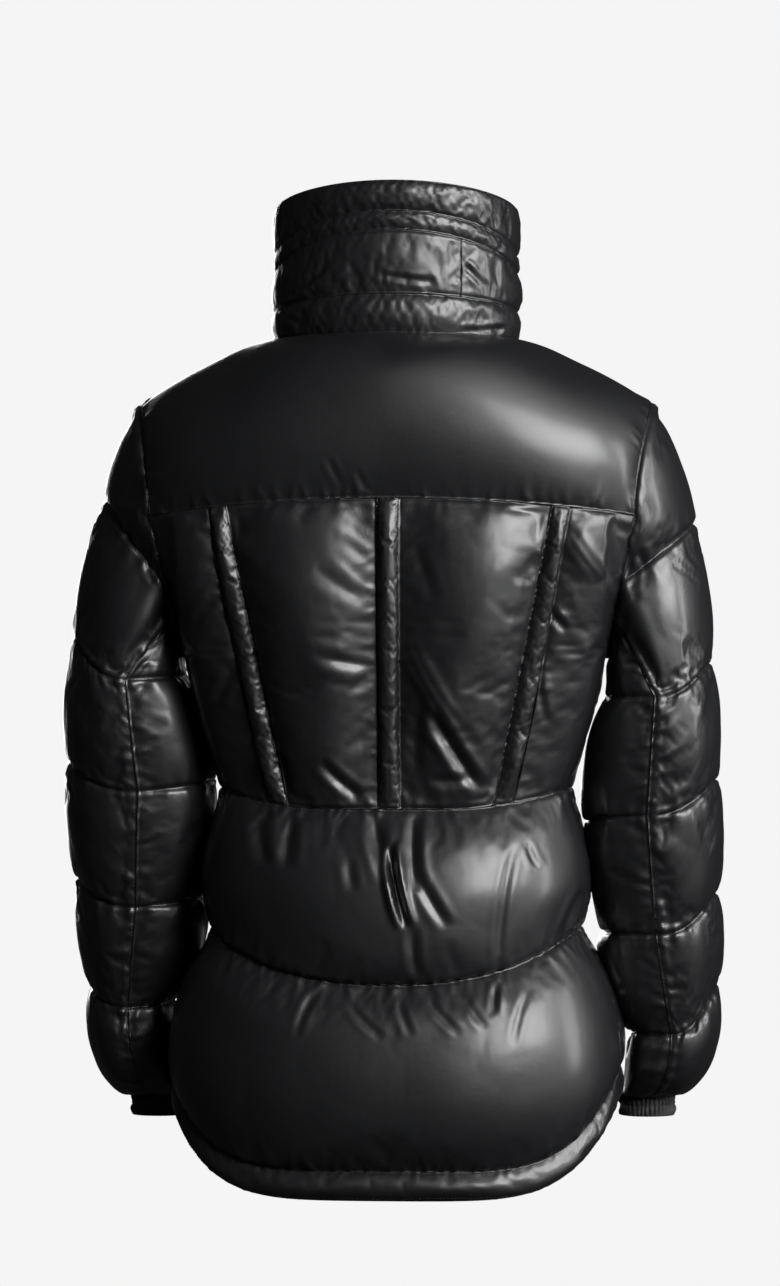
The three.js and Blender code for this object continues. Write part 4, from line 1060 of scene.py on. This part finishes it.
def toned(board, factor, dark, light):
    return board.add("Mix", {"Factor": factor, "A": (*dark, 1), "B": (*light, 1)},
                     data_type="RGBA").outputs["Result"]


# Dull woven tape: a fine twill with a firmer rib at every few threads
def tapeMaterial():
    board = NodeBoard("zipTape")
    uv = board.add("UVMap", uv_map="cloth").outputs["UV"]
    twill = board.add("TexWave", {"Vector": uv, "Scale": math.pi / 10 / 0.0007, "Distortion": 0.4},
                      bands_direction="DIAGONAL").outputs["Fac"]
    ribs = board.add("TexWave", {"Vector": uv, "Scale": math.pi / 10 / 0.0021}, bands_direction="X").outputs["Fac"]
    normal = board.bump(ribs, 0.0001, 0.6)
    normal = board.bump(twill, 0.00008, 0.7, normal)
    board.set(Base_Color=toned(board, twill, (0.007, 0.007, 0.008), (0.015, 0.015, 0.016)), Normal=normal,
              Roughness=board.scaled(0.65, 0.85, board.noise(0.003, 3)), Sheen_Weight=0.1, Sheen_Roughness=0.5)
    return board.material


# Dull elastic rib: rows of covered elastic run round the wrist
def elasticMaterial():
    board = NodeBoard("cuffElastic")
    rows = board.add("TexWave", {"Vector": board.coordinates, "Scale": math.pi / 10 / 0.0011, "Distortion": 0.6,
                                 "Detail": 1.0}, bands_direction="Z").outputs["Fac"]
    speck = board.noise(0.0012, 3)
    normal = board.bump(rows, 0.00006, 0.3)
    normal = board.bump(speck, 0.0002, 0.4, normal)
    board.set(Base_Color=toned(board, speck, (0.006, 0.006, 0.007), (0.012, 0.012, 0.013)), Normal=normal,
              Roughness=board.scaled(0.6, 0.8, speck), Sheen_Weight=0.12, Sheen_Roughness=0.5)
    return board.material


def threadMaterial():
    board = NodeBoard("thread")
    twist = board.add("TexWave", {"Vector": board.coordinates, "Scale": math.pi / 10 / 0.0004},
                      bands_direction="DIAGONAL").outputs["Fac"]
    board.set(Base_Color=toned(board, twist, (0.005, 0.005, 0.006), (0.011, 0.011, 0.012)),
              Roughness=board.scaled(0.42, 0.6, board.noise(0.002, 2)), Normal=board.bump(twist, 0.00005, 0.6))
    return board.material


# Black enamel on metal, rubbed through along the edges and in a few scratches
def metalMaterial():
    board = NodeBoard("zipMetal")
    rounded = board.add("Bevel", {"Radius": 0.00035}, samples=6).outputs["Normal"]
    flat = board.add("NewGeometry").outputs["Normal"]
    facing = board.add("VectorMath", {0: rounded, 1: flat}, operation="DOT_PRODUCT").outputs["Value"]
    edge = board.add("MapRange", {"Value": facing, "From Min": 0.99, "From Max": 0.90}).outputs["Result"]
    patchy = board.scaled(0.0, 1.6, board.noise(0.0016, 4, 0.6))
    wear = board.add("Math", {0: edge, 1: patchy}, operation="MULTIPLY", use_clamp=True).outputs[0]
    scratch = board.add("TexNoise", {"Vector": board.coordinates, "Scale": 900.0, "Detail": 2.0, "Distortion": 4.0})
    scratched = board.add("MapRange", {"Value": scratch.outputs["Fac"], "From Min": 0.70, "From Max": 0.76,
                                       "To Max": 0.5}).outputs["Result"]
    worn = board.add("Math", {0: wear, 1: scratched}, operation="MAXIMUM").outputs[0]
    board.set(Base_Color=toned(board, worn, (0.016, 0.016, 0.018), (0.33, 0.32, 0.31)), Metallic=worn,
              Roughness=board.scaled(0.28, 0.42, board.noise(0.002, 4)), Coat_Weight=0.25, Coat_Roughness=0.2,
              Normal=board.bump(board.noise(0.0008, 3), 0.00003, 0.5))
    return board.material


materials = {"nylon": nylonMaterial("nylon"), "channel": nylonMaterial("channelNylon", 0.85),
             "lining": liningMaterial(), "tape": tapeMaterial(), "elastic": elasticMaterial(),
             "thread": threadMaterial(), "metal": metalMaterial()}

print("stage: padded cloth")
settle()
for panel in panels:
    skin = materials["channel"] if panel["look"] == "channel" else materials["nylon"]
    piece = addPiece(panel["name"] + "_cloth", quiltedMesh(panel), [skin, materials["lining"]])
    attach(piece, "jacket")
    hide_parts(panel["name"])

print("stage: cuffs")
cuff = {"height": 18, "half": 22.2, "wall": 1.0, "ribs": 40, "ribDepth": 2.0, "rows": 2, "rowBulge": 0.3, "top": 0.2}


# One closed ribbed tube, gathered by rows of elastic
def cuffMesh(sideName, side):
    ring = sleeveRings[sideName][-1]
    centre = ringCentre(ring, side, ring["outerZ"])
    around, down = cuff["ribs"] * 8, cuff["rows"] * 9 + 1
    angle = np.linspace(0, 2 * math.pi, around, endpoint=False)[None, :]
    t = np.linspace(0, 1, down)[:, None]
    wander = 0.9 * np.sin(3 * angle + side) + 0.6 * np.sin(7 * angle + 2) + 0.5 * np.sin(11 * angle + 5 * t)
    rib = (0.5 + 0.5 * np.cos(cuff["ribs"] * angle + wander)) ** 0.8
    rib = rib * (0.65 + 0.35 * np.sin(5 * angle + 9 * t + side))
    bulge = np.abs(np.sin(math.pi * cuff["rows"] * t)) ** 0.7
    outer = cuff["half"] + cuff["wall"] + cuff["rowBulge"] * bulge + cuff["ribDepth"] * rib * (0.45 + 0.55 * bulge)
    inner = np.full((3, around), cuff["half"], float)
    levels = [ring["outerZ"] - cuff["top"] - cuff["height"] * t,
              ring["outerZ"] - cuff["top"] - cuff["height"] * np.array([[1.0], [0.5], [0.0]])]
    rows = []
    for radius, level in zip((outer, inner), levels):
        rows.append(np.stack([centre[0] + radius * np.cos(angle), centre[1] + radius * np.sin(angle),
                              level + 0 * radius], -1))
    points = np.concatenate(rows)
    count = len(points)
    row, column = np.mgrid[0:count, 0:around]
    following, beyond = (row + 1) % count, (column + 1) % around
    faces = np.stack([row * around + column, following * around + column, following * around + beyond,
                      row * around + beyond], -1).reshape(-1, 4)
    mesh = bpy.data.meshes.new(f"cuff_{sideName}_cloth")
    mesh.from_pydata((points.reshape(-1, 3) * mm).tolist(), [], faces.tolist())
    mesh.polygons.foreach_set("use_smooth", [True] * len(faces))
    lengths = [np.linalg.norm(np.diff(rows[0], axis=axis), axis=-1).sum(axis).mean() * mm for axis in (1, 0)]
    return mesh, lengths


for sideName, side in (("left", 1), ("right", -1)):
    mesh, flatSize = cuffMesh(sideName, side)
    piece = addPiece(mesh.name, mesh, [materials["elastic"]])
    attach(piece, "jacket")
    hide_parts("cuff_" + sideName)
    tuple(flatSize)

print("stage: zip")
tape = {"section": [(0.25, 1.0), (4.9, 1.0), (5.9, -0.9), (12.2, -0.9)], "wall": 0.6, "step": 5.0}
teeth = {"pitch": 2.7, "size": (1.25, 3.3, 1.2), "across": 1.3, "height": 1.12, "taper": 0.35}


# The middle of the front from the hem to the top of the collar, with its outward direction
def zipLine():
    middle = -math.pi / 2
    bottom, top = torsoSeams["edge"]["front"], torsoSeams["yoke"]["front"]
    chest = torsoPoint(middle, np.linspace(bottom, top, 90))
    throat = neckPoint(collarSeams[0], np.array(middle))
    turn = np.linspace(math.pi / 2, 0, 28)[1:]
    over = np.stack([0 * turn, lerp(throat[1], chest[-1, 1], np.sin(turn)),
                     lerp(throat[2], chest[-1, 2], 1 - np.cos(turn))], -1)
    rings = np.array([neckPoint(ring, np.array(middle)) for ring in collarSeams])
    steps = np.linspace(0, len(rings) - 1, 33)[1:]
    upper = np.stack([np.interp(steps, np.arange(len(rings)), rings[:, axis]) for axis in range(3)], -1)
    points = np.concatenate([chest, over, upper]) * np.array([0, 1, 1])
    outward = torsoOutward(points) * np.array([0, 1, 1])
    straight = smooth(points[:, 2], collarSeams[0]["front"] - 12, collarSeams[0]["front"] + 12)[:, None]
    return points, unit(lerp(unit(outward), np.array([0, -1.0, 0]), straight))


def tapeMesh(sideName, side):
    points, outward = zipLine()
    section = tape["section"]
    loop = [(x, high) for x, high in section] + [(x, high - tape["wall"]) for x, high in reversed(section)]
    places = [0] + list(np.cumsum([math.dist(section[k], section[k + 1]) for k in range(len(section) - 1)]))
    across = places + places[::-1]
    grid = np.array([[point + np.array([side * x, 0, 0]) + out * high for x, high in loop]
                     for point, out in zip(points, outward)])
    count, width = grid.shape[:2]
    faces = [(row * width + k, row * width + (k + 1) % width, (row + 1) * width + (k + 1) % width,
              (row + 1) * width + k) for row in range(count - 1) for k in range(width)]
    faces += [tuple(range(width))[::-1], tuple(range((count - 1) * width, count * width))]
    if side > 0:
        faces = [face[::-1] for face in faces]
    travel = np.concatenate([[0], np.cumsum(np.linalg.norm(np.diff(points, axis=0), axis=1))])
    mesh = bpy.data.meshes.new(f"zip_tape_{sideName}_cloth")
    mesh.from_pydata((grid.reshape(-1, 3) * mm).tolist(), [], faces)
    corners = np.empty(len(mesh.loops), int)
    mesh.loops.foreach_get("vertex_index", corners)
    uv = np.stack([np.array(across)[corners % width], travel[corners // width]], -1) * mm
    mesh.uv_layers.new(name="cloth").data.foreach_set("uv", uv.ravel())
    return mesh, (places[-1] * mm, travel[-1] * mm)


for sideName, side in (("left", 1), ("right", -1)):
    mesh, flatSize = tapeMesh(sideName, side)
    piece = addPiece(mesh.name, mesh, [materials["tape"]])
    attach(piece, "jacket")
    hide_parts("zip_tape_" + sideName)

for node in ("zip_slider", "zip_pull_tab"):
    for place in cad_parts[node].material_slots:
        place.material = materials["metal"]


class TreeBoard:
    # a short way to add and join geometry nodes
    def __init__(self, name, inputs):
        self.tree = bpy.data.node_groups.new(name, "GeometryNodeTree")
        sockets = self.tree.interface
        sockets.new_socket("Geometry", in_out="INPUT", socket_type="NodeSocketGeometry")
        sockets.new_socket("Geometry", in_out="OUTPUT", socket_type="NodeSocketGeometry")
        self.identifiers = {}
        for label, kind in inputs.items():
            socket = sockets.new_socket(label, in_out="INPUT", socket_type="NodeSocket" + kind)
            self.identifiers[label] = socket.identifier
        self.entry = self.tree.nodes.new("NodeGroupInput").outputs
        self.result = self.tree.nodes.new("NodeGroupOutput").inputs

    def add(self, kind, inputs=None, **settings):
        node = self.tree.nodes.new(kind)
        for name, value in settings.items():
            setattr(node, name, value)
        for name, value in (inputs or {}).items():
            if isinstance(value, bpy.types.NodeSocket):
                self.tree.links.new(value, node.inputs[name])
            else:
                node.inputs[name].default_value = value
        return node.outputs

    def math(self, operation, first, second):
        return self.add("ShaderNodeMath", {0: first, 1: second}, operation=operation)[0]


# Repeats a small tapered bar along the paths: it lies along the path and stands outward
def repeatTree():
    board = TreeBoard("repeatAlongPath", {"Pitch": "Float", "Size": "Vector", "Taper": "Float", "Droop": "Float",
                                          "Material": "Material"})
    size = board.entry["Size"]
    bar = board.add("GeometryNodeMeshCube", {"Size": size, "Vertices X": 4})["Mesh"]
    place = board.add("ShaderNodeVectorMath", {0: board.add("GeometryNodeInputPosition")[0], 1: size},
                      operation="DIVIDE")[0]
    share = board.add("ShaderNodeSeparateXYZ", {0: place})
    whole = board.add("ShaderNodeSeparateXYZ", {0: board.add("GeometryNodeInputPosition")[0]})
    narrow = board.math("MULTIPLY", board.math("ADD", share["Z"], 0.5), board.entry["Taper"])
    inward = board.math("MULTIPLY", narrow, -1.0)
    ends = board.math("MULTIPLY", board.math("MULTIPLY", share["X"], share["X"]), 4.0)
    drop = board.math("MULTIPLY", board.math("MULTIPLY", ends, board.entry["Droop"]), -1.0)
    offset = board.add("ShaderNodeCombineXYZ", {"X": board.math("MULTIPLY", whole["X"], inward),
                                                "Y": board.math("MULTIPLY", whole["Y"], inward), "Z": drop})[0]
    bar = board.add("GeometryNodeSetPosition", {"Geometry": bar, "Offset": offset})[0]
    curve = board.add("GeometryNodeMeshToCurve", {"Mesh": board.entry["Geometry"]})["Curve"]
    curve = board.add("GeometryNodeResampleCurve", {"Curve": curve, "Length": board.entry["Pitch"]},
                      mode="LENGTH")["Curve"]
    outward = board.add("GeometryNodeInputNamedAttribute", {"Name": "outward"}, data_type="FLOAT_VECTOR")["Attribute"]
    turned = board.add("FunctionNodeAxesToRotation",
                       {"Primary Axis": outward, "Secondary Axis": board.add("GeometryNodeInputTangent")[0]},
                       primary_axis="Z", secondary_axis="X")["Rotation"]
    placed = board.add("GeometryNodeInstanceOnPoints", {"Points": curve, "Instance": bar, "Rotation": turned})[0]
    real = board.add("GeometryNodeRealizeInstances", {"Geometry": placed})[0]
    finished = board.add("GeometryNodeSetMaterial", {"Geometry": real, "Material": board.entry["Material"]})[0]
    board.tree.links.new(finished, board.result["Geometry"])
    return board


repeating = repeatTree()


# One plain mesh of bars along every path; a path is its points and their outward directions, in millimetres
def repeated(name, paths, values):
    points = np.concatenate([path[0] for path in paths]) * mm
    outward = np.concatenate([path[1] for path in paths])
    ends = np.cumsum([len(path[0]) for path in paths])
    edges = [(k, k + 1) for k in range(len(points) - 1) if k + 1 not in ends]
    mesh = bpy.data.meshes.new(name + "Paths")
    mesh.from_pydata(points.tolist(), edges, [])
    mesh.attributes.new("outward", "FLOAT_VECTOR", "POINT").data.foreach_set("vector", outward.ravel())
    guide = bpy.data.objects.new(name + "Paths", mesh)
    bpy.context.collection.objects.link(guide)
    modifier = guide.modifiers.new("repeat", "NODES")
    modifier.node_group = repeating.tree
    for label, value in values.items():
        modifier[repeating.identifiers[label]] = value
    evaluated = guide.evaluated_get(bpy.context.evaluated_depsgraph_get())
    finished = bpy.data.meshes.new_from_object(evaluated)
    finished.name = name
    bpy.data.objects.remove(guide)
    piece = addPiece(name, finished, [])
    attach(piece, "jacket")
    return piece


def teethPaths():
    points, outward = zipLine()
    travel = np.concatenate([[0], np.cumsum(np.linalg.norm(np.diff(points, axis=0), axis=1))])
    paths = []
    for side in (1, -1):
        start = 2.0 if side > 0 else 2.0 + teeth["pitch"] / 2
        stops = np.linspace(start, travel[-1] - 3, 400)
        path, out = (np.stack([np.interp(stops, travel, values[:, axis]) for axis in range(3)], -1)
                     for values in (points, outward))
        paths.append((path + out * teeth["height"] + np.array([side * teeth["across"], 0, 0]), unit(out)))
    return paths


toothValues = {"Pitch": teeth["pitch"] * mm, "Size": [size * mm for size in teeth["size"]], "Taper": teeth["taper"],
               "Droop": 0.0, "Material": materials["metal"]}
repeated("zip_teeth", teethPaths(), toothValues)

print("stage: stitching")
stitch = {"pitch": 3.3, "size": (2.5, 0.5, 0.45), "taper": 0.4, "droop": 0.4, "high": 0.12}
# Fine rows and columns of each panel that carry a line of stitches; row 1 lies 2 mm from the seam
stitchLines = {
    "yoke": {"rows": [-2], "columns": []},
    "panel": {"rows": [], "columns": []},
    "band": {"rows": [1], "columns": []},
    "hem": {"rows": [1, -4], "columns": []},
    "channel": {"rows": [], "columns": [1, -2]},
    "collar": {"rows": [-2], "columns": []},
    "sleeve": {"rows": [1], "columns": []},
}


def stitchPaths(wanted):
    paths = []
    for panel in panels:
        if wanted(panel["look"]):
            points = panel["fine"] + panel["normals"] * stitch["high"]
            rows, columns = list(stitchLines[panel["look"]]["rows"]), list(stitchLines[panel["look"]]["columns"])
            if panel["look"] == "sleeve":
                rows += [2 * row for row in panel["seamRows"][1:-1]]
                columns += [1, -2] if "outer" in panel["name"] else []
            if panel["name"] == "collar_base_band":
                rows.append(2)
            if panel["name"].startswith("front_"):
                columns.append(-4)
            paths += [(points[row], panel["normals"][row]) for row in rows]
            paths += [(points[:, column], panel["normals"][:, column]) for column in columns]
    return paths


stitchValues = {"Pitch": stitch["pitch"] * mm, "Size": [size * mm for size in stitch["size"]],
                "Taper": stitch["taper"], "Droop": stitch["droop"] * mm, "Material": materials["thread"]}
for name, wanted in (("stitching_sleeves", lambda look: look == "sleeve"),
                     ("stitching_body", lambda look: look != "sleeve")):
    repeated(name, stitchPaths(wanted), stitchValues)

print("stage: studio")
studio = {"distance": 4.5, "viewHeight": 1.106, "aim": (0.0056, 0.0, -0.262), "azimuth": 184, "floor": -1.45,
          "floorReach": 5.0, "backdrop": 0.913, "fillLight": 0.024, "floorGlow": 0.6}


def addCamera():
    camera = bpy.data.objects.new("camera", bpy.data.cameras.new("camera"))
    bpy.context.collection.objects.link(camera)
    turn = math.radians(studio["azimuth"])
    back = Vector((math.sin(turn), -math.cos(turn), 0))
    camera.location = Vector(studio["aim"]) + back * studio["distance"]
    camera.rotation_mode = "QUATERNION"
    camera.rotation_quaternion = (-back).to_track_quat("-Z", "Y")
    camera.data.sensor_width = 36
    camera.data.lens = camera.data.sensor_width * studio["distance"] / studio["viewHeight"]
    camera.data.clip_end = 50
    bpy.context.scene.camera = camera


lamps = [
    {"name": "keyRight", "power": 31, "size": (2.0, 1.5), "place": (-1.95, 2.15, 0.85), "aim": (0, 0, -0.25),
     "spread": 75},
    {"name": "sideRight", "power": 7, "size": (0.5, 1.8), "place": (-2.8, 0.7, 0.3), "aim": (0, 0, -0.3),
     "spread": 75},
    {"name": "frontKey", "power": 9, "size": (1.3, 1.5), "place": (0.9, -2.9, 0.1), "aim": (0, 0, -0.3),
     "spread": 75},
]


def addLamps():
    for lamp in lamps:
        data = bpy.data.lights.new(lamp["name"], "AREA")
        data.shape = "RECTANGLE"
        data.energy = lamp["power"]
        data.size, data.size_y = lamp["size"]
        data.spread = math.radians(lamp["spread"])
        item = bpy.data.objects.new(lamp["name"], data)
        item.location = lamp["place"]
        item.rotation_mode = "QUATERNION"
        item.rotation_quaternion = (Vector(lamp["aim"]) - Vector(lamp["place"])).to_track_quat("-Z", "Y")
        bpy.context.collection.objects.link(item)


def addFloor():
    board = NodeBoard("paleFloor")
    grain = board.noise(0.02, 3)
    board.set(Roughness=board.scaled(0.8, 0.9, grain),
              Base_Color=toned(board, grain, (0.84, 0.84, 0.84), (0.87, 0.87, 0.87)),
              Emission_Color=toned(board, grain, (0.97, 0.97, 0.97), (1.0, 1.0, 1.0)),
              Emission_Strength=studio["floorGlow"])
    size, low = studio["floorReach"], studio["floor"]
    corners = [(-size, -size, low), (size, -size, low), (size, size, low), (-size, size, low)]
    mesh = bpy.data.meshes.new("floor")
    mesh.from_pydata(corners, [], [(0, 1, 2, 3)])
    floor = addPiece("floor", mesh, [board.material])
    floor.visible_diffuse = floor.visible_glossy = False  # it is pale to look at and doesn't light the dark cloth


# The pale backdrop is seen as it is, and lights the dark cloth only a little
def addWorld():
    world = bpy.data.worlds.new("studio")
    world.use_nodes = True
    nodes, links = world.node_tree.nodes, world.node_tree.links
    seen, lit = nodes["Background"], nodes.new("ShaderNodeBackground")
    for background, strength in ((seen, studio["backdrop"]), (lit, studio["fillLight"])):
        background.inputs["Color"].default_value = (1, 1, 1, 1)
        background.inputs["Strength"].default_value = strength
    mix = nodes.new("ShaderNodeMixShader")
    links.new(nodes.new("ShaderNodeLightPath").outputs["Is Camera Ray"], mix.inputs["Fac"])
    links.new(lit.outputs["Background"], mix.inputs[1])
    links.new(seen.outputs["Background"], mix.inputs[2])
    links.new(mix.outputs["Shader"], nodes["World Output"].inputs["Surface"])
    bpy.context.scene.world = world


addCamera()
addLamps()
addFloor()
addWorld()
bpy.context.scene.view_settings.view_transform = "Standard"
